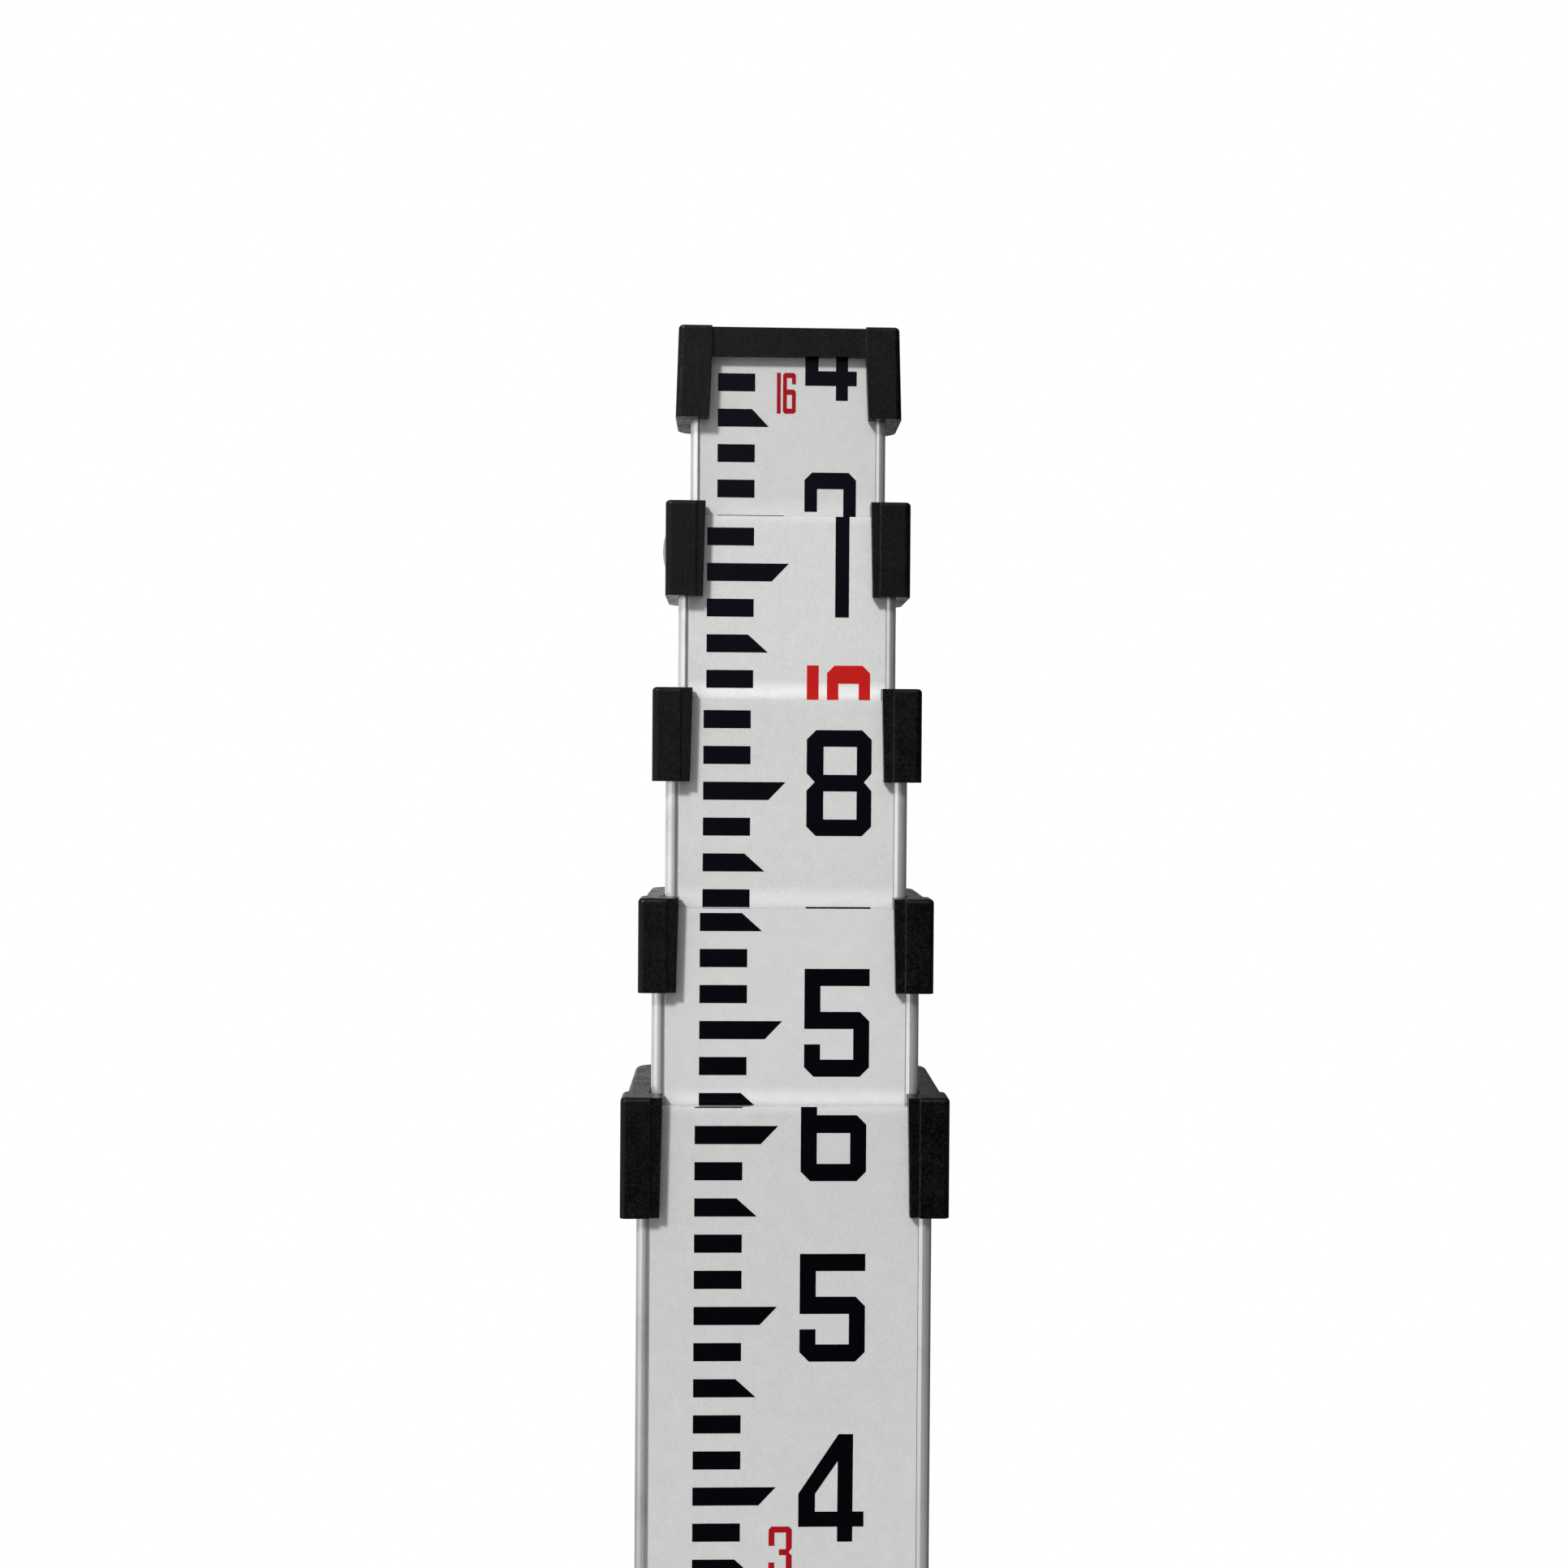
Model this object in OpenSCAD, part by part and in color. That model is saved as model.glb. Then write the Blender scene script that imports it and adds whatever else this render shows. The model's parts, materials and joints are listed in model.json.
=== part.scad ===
// Telescopic levelling staff, five nested aluminium sections, shown closed.
// X to the right of the graduated face, Y towards the back, Z up.
// The origin is the middle of the foot's underside, where the graduation starts.

/* [Aluminium sections] */
// Width of the lowest section
section_width = 49.8; // [48:0.2:54]
// Depth of the lowest section, from front panel to back panel
section_depth = 26.6; // [26:0.2:30]
// Wall of every section
wall = 1.2; // [1.1:0.05:1.3]
// Gap beside section 2, in section 1
side_gap_2 = 1; // [0.9:0.05:1.1]
// Gap beside section 3, in section 2
side_gap_3 = 0.85; // [0.75:0.05:0.95]
// Gap beside section 4, in section 3
side_gap_4 = 0.75; // [0.65:0.05:0.85]
// Gap beside section 5, in section 4
side_gap_5 = 0.65; // [0.6:0.05:0.75]
// Gap between the front walls of two neighbours
face_gap = 0.9; // [0.8:0.05:1]
// Radius of the section's outer corners
corner_r = 1.2; // [0.8:0.1:1.4]
// Radius in the corners of the section's hollow
hollow_r = 0.5; // [0.3:0.1:0.8]
// Width of the raised rims of sections 1 to 3, with their slanted inner side
rim_w = 2.35; // [2.1:0.05:2.6]
// Width of the rims of sections 4 and 5
rim_w_4 = 1.8; // [1.6:0.05:2.1]
// Width of the slanted inner side on sections 1 to 3
rim_slope = 0.7; // [0.4:0.05:0.9]
// How far the rims stand above the panel
rim_rise = 0.3; // [0.1:0.05:0.4]
// Depth of the groove at the slope's foot, below the panel
groove_deep = 0.15; // [0.05:0.05:0.3]

/* [Heights] */
// Height of the lowest section's top edge
top_1 = 1100.5; // [1090:0.1:1110]
// How far section 2 stands above section 1 when closed
show_2 = 33.1; // [32:0.1:36]
// How far section 3 stands above section 2 when closed
show_3 = 35.5; // [32:0.1:36]
// How far section 4 stands above section 3 when closed
show_4 = 31.5; // [31:0.1:36]
// How far the top cap stands above section 4 when closed
show_5 = 32.6; // [32:0.1:36]
// Length of section 2 that stays in section 1 when drawn out
hold_2 = 215.8; // [190:0.1:240]
// Length of section 3 that stays in section 2 when drawn out
hold_3 = 133; // [120:0.1:150]
// Length of section 4 that stays in section 3 when drawn out
hold_4 = 148.4; // [130:0.1:170]
// Length of section 5 that stays in section 4 when drawn out
hold_5 = 164.4; // [150:0.1:180]

/* [Collars] */
// Height of the lowest collar
collar_h_1 = 20.1; // [18:0.1:22]
// Height of the second and third collars
collar_h = 15.9; // [15:0.1:18]
// Height of the button's collar
collar_h_4 = 16.2; // [15.5:0.1:18]
// How far the lowest collar stands out at the side of its section
collar_side_1 = 2.65; // [2.3:0.05:2.8]
// How far the other collars stand out at the side
collar_side = 2.2; // [2.1:0.05:2.3]
// How far the collars stand in front of the panel, and behind it
collar_front = 2.5; // [2.2:0.1:2.7]
// How much narrower the lower three collars are behind their front block
side_recess = 0.8; // [0.5:0.05:0.9]
// Depth of that front block
front_block = 6.5; // [5:0.5:8]
// How far the lower three collars stand above their section's top edge
collar_over = 1.9; // [1.6:0.1:2.4]
// How far the button's collar stands above it
collar_over_4 = 2.3; // [1.8:0.1:2.6]
// Reach of the lowest collar's lips over the front
lip_reach_1 = 4.35; // [3.4:0.05:5]
// Reach of the other collars' lips over the front
lip_reach = 4.6; // [4:0.1:5.4]
// Width of the lower step along each lip
lip_step_w = 2; // [1.4:0.1:2.4]
// Width of that step on the button's collar
lip_step_w_4 = 1.6; // [1.2:0.1:2]
// Depth of that step
lip_step = 0.5; // [0.3:0.1:0.8]
// How much further apart the lips are at the bottom, on each side
lip_draft = 0.4; // [0.2:0.05:0.5]
// Radius of the collars' front corners
front_r = 1; // [0.8:0.1:1.4]
// Radius of the collars' back corners
back_r = 3; // [2:0.1:3.5]
// Radius of the collars' top edges
edge_r = 0.7; // [0.4:0.1:0.8]
// Gap between a collar and the section that slides in it
ring_gap = 0.3; // [0.2:0.05:0.4]

/* [Top cap] */
// Height of the top cap
cap_h = 15.8; // [14:0.1:18]
// How far the cap stands out at the side of its section, at the top
cap_side = 2.1; // [1.8:0.1:2.3]
// How much wider the cap is at the bottom, on each side
cap_draft = 0.45; // [0.2:0.05:0.6]
// Thickness of the cap's roof
cap_roof = 2; // [1.6:0.1:2.6]
// Reach of the cap's legs over the front
cap_leg = 3.65; // [3:0.05:4.5]
// Height of the bridge between the legs
bridge_h = 4.85; // [4:0.05:6]
// How far the bridge lies behind the legs' front
bridge_back = 0.9; // [0.6:0.1:1.2]
// How far the bridge lies below the legs' top
bridge_drop = 0.2; // [0.1:0.05:0.6]

/* [Foot] */
// Thickness of the steel foot plate
plate_t = 3; // [2.6:0.1:3.4]
// Thickness of the shoe's floor
shoe_floor = 6; // [5.5:0.1:7]
// Height of the shoe's thick base band, floor included
shoe_base_h = 14; // [12:0.5:18]
// Height of the whole shoe
shoe_h = 42; // [40:1:50]
// Thickness of the shoe's base band around the section
shoe_base_wall = 3.1; // [3:0.1:4]
// Thickness of the shoe's sleeve around the section
shoe_wall = 2.1; // [2:0.1:2.5]
// Inset of the foot plate from the shoe's outline
plate_inset = 0.8; // [0.5:0.1:1.5]
// Thickness of the rubber buffer that the closed sections drop on
buffer_t = 6; // [5.5:0.1:7]
// Distance of the foot screws from the middle
foot_screw_x = 17; // [15:0.5:19]
// Diameter of a foot screw's shank
foot_screw_d = 3.4; // [3:0.1:4]
// Diameter of a foot screw's head
foot_screw_head = 6.6; // [6:0.1:7.5]
// Width across the corners of a foot screw's hexagon socket
foot_screw_hex = 2.4; // [2:0.1:2.8]
// Depth of that socket
foot_screw_hex_deep = 1.5; // [1:0.1:2]
// Length of a foot screw
foot_screw_l = 7.5; // [6.5:0.1:8]

/* [End guides] */
// Thickness of the guide's plate under the section
guide_plate = 3; // [2.5:0.1:4]
// Height of the guide's plug inside the section
guide_plug = 14; // [13:0.5:17]
// Gap between the guide and the section that it slides in
guide_gap = 0.25; // [0.2:0.05:0.3]
// Gap between the stacked guides when closed
seat_gap = 0.1; // [0.05:0.05:0.2]

/* [Locks] */
// Height of a lock pin above its section's lower end
pin_rise = 7; // [6.5:0.1:7.5]
// Diameter of the lock pins
pin_d = 4.6; // [4.2:0.1:5]
// Diameter of the lock pins' flange
pin_flange_d = 6.4; // [6:0.1:6.6]
// Thickness of the lower pins' flange
pin_flange_t = 1; // [0.8:0.1:1.2]
// Thickness of the top section's pin flange
top_pin_flange_t = 0.8; // [0.7:0.1:1]
// How far an engaged pin stands out of the outer section
pin_proud = 1.5; // [1:0.1:2]
// Length of the lock springs when closed
spring_l = 7; // [6:0.1:8]
// Diameter of the lock springs' wire
spring_wire = 0.6; // [0.5:0.05:0.7]
// Number of the lock springs' turns
spring_turns = 5; // [4:1:5]
// Height of the release button above the collar's lower edge
button_rise = 8.5; // [7:0.05:9]
// Diameter of the release button's head
button_d = 6.4; // [6:0.1:6.6]
// Diameter of the release button's flange
button_flange_d = 7.6; // [7.5:0.1:7.8]
// Thickness of the release button's flange
button_flange_t = 0.45; // [0.4:0.05:0.5]
// Thickness of the collar outside that flange
button_lip = 0.75; // [0.65:0.05:0.8]
// How far the release button stands out at its middle
button_proud = 0.8; // [0.6:0.05:1]
// Height of the button's straight side outside the collar
button_side = 0.25; // [0.1:0.05:0.4]
// Travel of the release button
button_travel = 0.6; // [0.5:0.05:0.65]
// Width of the top section's snap spring
snap_w = 5; // [4:0.1:5.5]
// Thickness of its steel strip
snap_t = 0.5; // [0.4:0.05:0.6]
// Length of the snap spring below its pin
snap_l = 42; // [36:1:50]
// Radius of the snap spring's bend
snap_r = 4; // [3:0.5:5]

/* [Rivets] */
// Diameter of the rivets
rivet_d = 2.4; // [2.2:0.1:2.6]
// Diameter of their domed heads
rivet_head_d = 4.2; // [3.8:0.1:4.6]
// Height of their domed heads
rivet_head_h = 0.7; // [0.5:0.05:0.8]
// Length of a rivet's hold in an end guide
rivet_hold = 4; // [3:0.5:4.5]
// Plastic between a guide rivet and the lock spring's bore
rivet_seat = 0.8; // [0.6:0.1:1.2]
// Depth of the guide rivets' countersunk heads
rivet_sink = 0.7; // [0.5:0.05:0.9]
// Height of the shoe's rivets above the ground
shoe_rivet_z = 32; // [28:1:38]

/* [Clearances] */
// Gap between pieces that are fixed to each other
fit_gap = 0.05; // [0.02:0.01:0.08]
// Radial clearance of pins and buttons in their holes
run_gap = 0.1; // [0.05:0.01:0.1]
// Gap between a closed lock pin's tip and the outer section
tip_gap = 0.05; // [0.02:0.01:0.1]

/* [Hidden] */

round_fn = 48;
hull_fn = 32;
// How far cuts run: through everything, past a face, and into a neighbour
far = 60;
over = 1;
skin = 0.01;

black = [0.09, 0.095, 0.1];
silver = [0.8, 0.81, 0.82];
steel = [0.6, 0.61, 0.62];
nylon = [0.16, 0.16, 0.17];
rubber = [0.12, 0.12, 0.12];

closed = [
    top_1,
    top_1 + show_2,
    top_1 + show_2 + show_3,
    top_1 + show_2 + show_3 + show_4,
    top_1 + show_2 + show_3 + show_4 + show_5
];
hold = [hold_2, hold_3, hold_4, hold_5];
side_gaps = [side_gap_2, side_gap_3, side_gap_4, side_gap_5];

// How far section n moves in section n - 1
function travel(n) = closed[n - 2] - hold[n - 2] - foot_z(n);

// Outer width of section n, its depth over the panels, and over the rims
function out_w(n) = n == 1 ? section_width : out_w(n - 1) - 2 * (wall + side_gaps[n - 2]);
function out_d(n) = section_depth - (n - 1) * 2 * (wall + face_gap);
function rim_d(n) = out_d(n) + 2 * rim_rise;
function rim_of(n) = n < 4 ? rim_w : rim_w_4;
function in_w(n) = out_w(n) - 2 * wall;
function in_d(n) = out_d(n) - 2 * wall;

// Top edge and lower end of section n's tube when closed
shoe_top = plate_t + shoe_h;
tube_1_foot = plate_t + shoe_floor;
buffer_top = tube_1_foot + buffer_t;
guide_step = seat_gap + guide_plate + guide_plug;
function top_z(n) = n < 5 ? closed[n - 1] : closed[4] - cap_roof - fit_gap;
function foot_z(n) = n == 1 ? tube_1_foot
    : buffer_top + (n - 2) * guide_step + seat_gap + guide_plate;

// Sizes of collar n
function side_of(n) = n == 1 ? collar_side_1 : collar_side;
function height_of(n) = n == 1 ? collar_h_1 : n == 4 ? collar_h_4 : collar_h;
function over_of(n) = n == 4 ? collar_over_4 : collar_over;
function lip_of(n) = n == 1 ? lip_reach_1 : lip_reach;
function step_of(n) = n == 4 ? lip_step_w_4 : lip_step_w;
function collar_top(n) = closed[n - 1] + over_of(n);
function collar_foot(n) = collar_top(n) - height_of(n);
function collar_half_w(n) = out_w(n) / 2 + side_of(n);
function collar_half_d(n) = out_d(n) / 2 + collar_front;
function collar_rivet_z(n) = (collar_foot(n) + closed[n - 1]) / 2;
function rivet_x(n) = out_w(n) / 4;

cap_top = closed[4];
cap_foot = cap_top - cap_h;
cap_half_w = out_w(5) / 2 + cap_side;
cap_half_d = out_d(5) / 2 + collar_front;
cap_rivet_z = cap_foot + (cap_h - cap_roof) / 2;

shoe_half_w = out_w(1) / 2 + shoe_base_wall;
shoe_half_d = rim_d(1) / 2 + shoe_base_wall;

// Lock heights: the top section's pin meets the release button when drawn out
button_z = collar_foot(4) + button_rise;
function pin_z(n) = n < 5 ? foot_z(n) + pin_rise : button_z - travel(5);
function lock_z(n) = n < 4 ? pin_z(n + 1) + travel(n + 1) : button_z;
function pin_tip_x(n) = -(in_w(n - 1) / 2 - tip_gap);
function pin_out(n) = n < 5 ? wall + pin_proud + tip_gap : button_travel + tip_gap;
function flange_x(n) = -(in_w(n) / 2) + pin_out(n) + tip_gap;
function pocket_end(n) = flange_x(n) + pin_flange_t + spring_l;
// Guide rivets sit in the solid plastic beside the lock spring's bore
function guide_rivet_z(n) = foot_z(n) + guide_plug / 2;
function guide_rivet_x(n) = n < 5 ? -pocket_end(n) - rivet_seat - rivet_d / 2 : rivet_x(n);

// A rectangle with round corners
module rounded(w, d, r) {
    square([w - 2 * r, d], center = true);
    square([w, d - 2 * r], center = true);
    for (x = [-1, 1], y = [-1, 1])
        translate([x * (w / 2 - r), y * (d / 2 - r)])
            circle(r, $fn = round_fn);
}

// A cylinder along +X from a point on the middle plane
module rod_x(x, z, d, l) {
    translate([x, 0, z])
        rotate([0, 90, 0])
            cylinder(d = d, h = l, $fn = round_fn);
}

// A cylinder along +Y
module rod_y(x, y, z, d, l) {
    translate([x, y, z])
        rotate([-90, 0, 0])
            cylinder(d = d, h = l, $fn = round_fn);
}

// Extruded outline of section n: two printed panels between rims with slanted inner sides
module section_outline(n) {
    panel = out_w(n) / 2 - rim_of(n);
    ridge = panel + rim_slope * rim_of(n) / rim_w;
    face = out_d(n) / 2;
    top = face + rim_rise;
    right_half = [[panel, face], [panel, face - groove_deep], [ridge, top], [ridge, top + over]];
    difference() {
        rounded(out_w(n), rim_d(n), corner_r);
        for (s = [-1, 1])
            polygon([
                for (i = [0:7])
                    i < 4 ? [right_half[i][0], s * right_half[i][1]]
                        : [-right_half[7 - i][0], s * right_half[7 - i][1]]
            ]);
        rounded(in_w(n), in_d(n), hollow_r);
    }
}

module tube(n) {
    color(silver)
        difference() {
            translate([0, 0, foot_z(n)])
                linear_extrude(top_z(n) - foot_z(n))
                    section_outline(n);
            // hole that the next section's pin snaps into
            if (n < 5)
                rod_x(-out_w(n) / 2 - skin, lock_z(n), pin_d + 2 * run_gap, wall + 2 * skin);
            // hole of the section's own pin
            if (n > 1)
                rod_x(-out_w(n) / 2 - skin, pin_z(n), pin_d + 2 * run_gap, wall + 2 * skin);
            // rivet holes: collar or cap at the top, guide or shoe at the foot
            rivet_z = n < 5 ? collar_rivet_z(n) : cap_rivet_z;
            for (x = [-1, 1])
                rod_y(x * rivet_x(n), in_d(n) / 2 - skin, rivet_z, rivet_d + 2 * fit_gap, far);
            if (n > 1)
                for (x = [-1, 1])
                    guide_rivet(n, x, fit_gap);
            else
                for (x = [-1, 1])
                    rod_x(x < 0 ? -far : in_w(1) / 2 - skin, shoe_rivet_z,
                          rivet_d + 2 * fit_gap, far - in_w(1) / 2 + skin);
        }
}

// A corner post with a round top edge, for hulls
module post(x, y, r, z0, z1, edge) {
    translate([x, y, 0]) {
        translate([0, 0, z0])
            cylinder(r = r, h = z1 - z0 - edge, $fn = hull_fn);
        translate([0, 0, z1 - edge])
            rotate_extrude($fn = hull_fn)
                intersection() {
                    translate([r - edge, 0])
                        circle(edge, $fn = hull_fn);
                    square([r, edge]);
                }
    }
}

// Moulded outer form: round front and back corners, round top edge
module moulding(half_w, half_d, z0, z1, draft) {
    hull()
        for (s = [-1, 1]) {
            post(s * (half_w - front_r), front_r - half_d, front_r, z1 - 2 * edge_r, z1, edge_r);
            post(s * (half_w - back_r), half_d - back_r, back_r, z1 - 2 * edge_r, z1, edge_r);
            translate([s * (half_w + draft - front_r), front_r - half_d, z0])
                cylinder(r = front_r, h = skin, $fn = hull_fn);
            translate([s * (half_w + draft - back_r), half_d - back_r, z0])
                cylinder(r = back_r, h = skin, $fn = hull_fn);
        }
}

// Moulded form of collar n: the lower three have a front block wider than the rest
module collar_form(n) {
    half_w = collar_half_w(n);
    half_d = collar_half_d(n);
    z0 = collar_foot(n);
    z1 = collar_top(n);
    if (n < 4) {
        moulding(half_w - side_recess, half_d, z0, z1, 0);
        hull()
            for (s = [-1, 1], y = [front_r, front_block - front_r])
                post(s * (half_w - front_r), y - half_d, front_r, z0, z1, edge_r);
    } else {
        moulding(half_w, half_d, z0, z1, 0);
    }
}

// Room for section n's tube between two heights
module tube_pocket(n, z0, z1) {
    translate([0, 0, z0])
        linear_extrude(z1 - z0)
            rounded(out_w(n) + 2 * fit_gap, rim_d(n) + 2 * fit_gap, corner_r);
}

module collar(n) {
    z0 = collar_foot(n);
    z1 = collar_top(n);
    lip_x = out_w(n) / 2 - lip_of(n);
    color(black)
        difference() {
            collar_form(n);
            tube_pocket(n, z0 - over, closed[n - 1] + fit_gap);
            translate([0, 0, z0])
                linear_extrude(z1 - z0 + over)
                    rounded(out_w(n + 1) + 2 * ring_gap, rim_d(n + 1) + 2 * ring_gap, corner_r);
            // open front between the lips, and the lower step along each lip
            hull() {
                translate([-lip_x, -far, z1])
                    cube([2 * lip_x, far, over]);
                translate([-lip_x - lip_draft, -far, z0 - skin])
                    cube([2 * (lip_x + lip_draft), far, skin]);
            }
            translate([-lip_x - step_of(n), -far - collar_half_d(n) + lip_step, z0 - over])
                cube([2 * (lip_x + step_of(n)), far, z1 - z0 + 2 * over]);
            for (x = [-1, 1])
                rod_y(x * rivet_x(n), 0, collar_rivet_z(n), rivet_d + 2 * fit_gap, far);
            if (n == 4) {
                rod_x(-far, button_z, button_d + 2 * run_gap, far);
                rod_x(button_lip - collar_half_w(4), button_z,
                      button_flange_d + 2 * run_gap, collar_half_w(4));
            }
        }
}

module top_cap() {
    leg_x = out_w(5) / 2 - cap_leg;
    color(black)
        difference() {
            moulding(cap_half_w, cap_half_d, cap_foot, cap_top, cap_draft);
            tube_pocket(5, cap_foot - over, cap_top - cap_roof);
            // window below the bridge, which shows the printed face
            hull() {
                translate([-leg_x, -far, cap_top - bridge_drop - bridge_h])
                    cube([2 * leg_x, far, skin]);
                translate([-leg_x - cap_draft, -far, cap_foot - skin])
                    cube([2 * (leg_x + cap_draft), far, skin]);
            }
            // the bridge lies lower than the legs, and behind them
            translate([-leg_x, -far, cap_top - bridge_drop])
                cube([2 * leg_x, far + cap_half_d - back_r, over + bridge_drop]);
            translate([-leg_x, -far - cap_half_d + bridge_back, cap_foot])
                cube([2 * leg_x, far, cap_h + over]);
            for (x = [-1, 1])
                rod_y(x * rivet_x(5), 0, cap_rivet_z, rivet_d + 2 * fit_gap, far);
        }
}

// Domed rivets through the back of a collar or cap and its tube
module back_rivets(n, z, half_d) {
    reach_in = in_d(n) / 2;
    color(steel)
        for (x = [-1, 1]) {
            rod_y(x * rivet_x(n), reach_in, z, rivet_d, half_d - reach_in + skin);
            translate([x * rivet_x(n), half_d, z])
                rotate([-90, 0, 0])
                    dome(rivet_head_d, rivet_head_h);
        }
}

// A low round dome on its flat base
module dome(d, h) {
    r = (d * d / 4 + h * h) / (2 * h);
    rotate_extrude($fn = round_fn)
        intersection() {
            translate([0, h - r])
                circle(r, $fn = 4 * round_fn);
            square([d, h]);
        }
}

// End guide of section n: a plate that runs in the outer section, and a plug
module guide(n) {
    plate_w = in_w(n - 1) - 2 * guide_gap;
    plate_d = in_d(n - 1) - 2 * guide_gap;
    color(nylon)
        difference() {
            union() {
                translate([0, 0, foot_z(n) - guide_plate])
                    linear_extrude(guide_plate)
                        rounded(plate_w, plate_d, corner_r);
                translate([0, 0, foot_z(n) - skin])
                    linear_extrude(guide_plug + skin)
                        rounded(in_w(n) - 2 * fit_gap, in_d(n) - 2 * fit_gap, hollow_r);
            }
            if (n < 5)
                rod_x(-far, pin_z(n), pin_flange_d + 2 * run_gap, far + pocket_end(n));
            for (x = [-1, 1])
                guide_rivet(n, x, fit_gap);
        }
}

// Countersunk rivet, flush with the tube's back panel
module guide_rivet(n, x, gap) {
    head_d = rivet_d + 2 * rivet_sink + 2 * gap;
    translate([x * guide_rivet_x(n), out_d(n) / 2, guide_rivet_z(n)])
        rotate([90, 0, 0]) {
            cylinder(d = rivet_d + 2 * gap, h = wall + rivet_hold + gap, $fn = round_fn);
            cylinder(d1 = head_d, d2 = rivet_d + 2 * gap, h = rivet_sink, $fn = round_fn);
            // the hole stays open above the head
            if (gap > 0)
                translate([0, 0, -over])
                    cylinder(d = head_d, h = over + skin, $fn = round_fn);
        }
}

module guide_rivets(n) {
    color(steel)
        for (x = [-1, 1])
            guide_rivet(n, x, 0);
}

// Round-nosed lock pin of section n, pressed back by the outer section
module lock_pin(n) {
    shank = flange_x(n) - pin_tip_x(n);
    nose = pin_d / 4;
    flange_t = n < 5 ? pin_flange_t : top_pin_flange_t;
    color(silver)
        translate([pin_tip_x(n), 0, pin_z(n)])
            rotate([0, 90, 0]) {
                translate([0, 0, nose])
                    rotate([180, 0, 0])
                        dome(pin_d, nose);
                translate([0, 0, nose - skin])
                    cylinder(d = pin_d, h = shank - nose + skin, $fn = round_fn);
                translate([0, 0, shank - skin])
                    cylinder(d = pin_flange_d, h = flange_t + skin, $fn = round_fn);
            }
}

// Round wire wound along +Z from z = 0
module coil(r, wire, turns, l) {
    steps = 10;
    sides = 6;
    last = turns * steps;
    points = [
        for (i = [0:last], j = [0:sides - 1])
            let (a = 360 * i / steps, b = 360 * j / sides, ring = r + wire / 2 * cos(b))
                [ring * cos(a), ring * sin(a), wire / 2 + (l - wire) * i / last + wire / 2 * sin(b)]
    ];
    skin_faces = [
        for (i = [0:last - 1], j = [0:sides - 1], half = [0, 1])
            let (k = (j + 1) % sides, low = i * sides, high = (i + 1) * sides)
                half == 0 ? [low + j, low + k, high + k] : [low + j, high + k, high + j]
    ];
    end_faces = [
        for (j = [1:sides - 2], half = [0, 1])
            half == 0 ? [0, j + 1, j] : [last * sides, last * sides + j, last * sides + j + 1]
    ];
    polyhedron(points, concat(skin_faces, end_faces));
}

// Coil spring behind section n's lock pin
module lock_spring(n) {
    color(steel)
        translate([flange_x(n) + pin_flange_t, 0, pin_z(n)])
            rotate([0, 90, 0])
                coil((pin_flange_d - spring_wire) / 2 - run_gap, spring_wire, spring_turns, spring_l);
}

// A straight strip between two points of a drawing
module strip(p, q, t) {
    along = q - p;
    translate(p)
        rotate(atan2(along[1], along[0]))
            translate([0, -t / 2])
                square([norm(along), t]);
}

// V-shaped leaf inside the top section: one leg carries the pin, one rests on the wall
module snap_spring() {
    pin_leg = flange_x(5) + top_pin_flange_t + snap_t / 2;
    wall_leg = in_w(5) / 2 - fit_gap - snap_t / 2;
    tab = pin_flange_d / 2;
    color(steel)
        translate([0, 0, pin_z(5)])
            rotate([90, 0, 0])
                linear_extrude(snap_w, center = true) {
                    for (leg = [[-snap_r, pin_leg], [snap_r, wall_leg]]) {
                        strip([leg[1], -tab], [leg[1], tab], snap_t);
                        strip([leg[0], -snap_l], [leg[1], -tab], snap_t);
                        translate([leg[1], -tab])
                            circle(d = snap_t, $fn = round_fn);
                    }
                    translate([0, -snap_l])
                        difference() {
                            circle(snap_r + snap_t / 2, $fn = round_fn);
                            circle(snap_r - snap_t / 2, $fn = round_fn);
                            translate([-far, 0])
                                square([2 * far, far]);
                        }
                }
}

// Silver button in the top collar's left side, held by its flange
module release_button() {
    face = -collar_half_w(4) - button_side;
    flange = -collar_half_w(4) + button_lip + fit_gap;
    tip = -in_w(4) / 2 - button_travel - tip_gap;
    color(silver)
        union() {
            translate([face + skin, 0, button_z])
                rotate([0, -90, 0])
                    dome(button_d, button_proud - button_side + skin);
            rod_x(face, button_z, button_d, flange - face + skin);
            rod_x(flange, button_z, button_flange_d, button_flange_t);
            rod_x(flange, button_z, pin_d, tip - flange);
        }
}

// Dished ring that pushes the button out
module button_spring() {
    flange_in = -collar_half_w(4) + button_lip + fit_gap + button_flange_t;
    room = -out_w(4) / 2 - flange_in - 2 * tip_gap;
    t = room - button_travel + tip_gap;
    inner = pin_d / 2 + run_gap;
    outer = button_flange_d / 2 - run_gap;
    color(steel)
        translate([flange_in + tip_gap, 0, button_z])
            rotate([0, 90, 0])
                rotate_extrude($fn = round_fn)
                    polygon([[inner, 0], [inner + t, 0], [outer, room - t], [outer, room], [outer - t, room],
                             [inner, t]]);
}

// Shoe: thick base band, sleeve round the section, floor under it
module foot_shoe() {
    sleeve_w = out_w(1) / 2 + shoe_wall;
    sleeve_d = rim_d(1) / 2 + shoe_wall;
    color(black)
        difference() {
            union() {
                hull()
                    for (x = [-1, 1], y = [-1, 1])
                        post(x * (shoe_half_w - back_r), y * (shoe_half_d - back_r), back_r,
                             plate_t, plate_t + shoe_base_h, edge_r);
                hull()
                    for (x = [-1, 1], y = [-1, 1])
                        post(x * (sleeve_w - back_r), y * (sleeve_d - back_r), back_r,
                             plate_t, shoe_top, edge_r);
            }
            tube_pocket(1, tube_1_foot, shoe_top + over);
            for (x = [-1, 1])
                foot_screw(x, fit_gap);
            rod_x(-far, shoe_rivet_z, rivet_d + 2 * fit_gap, 2 * far);
        }
}

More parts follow.
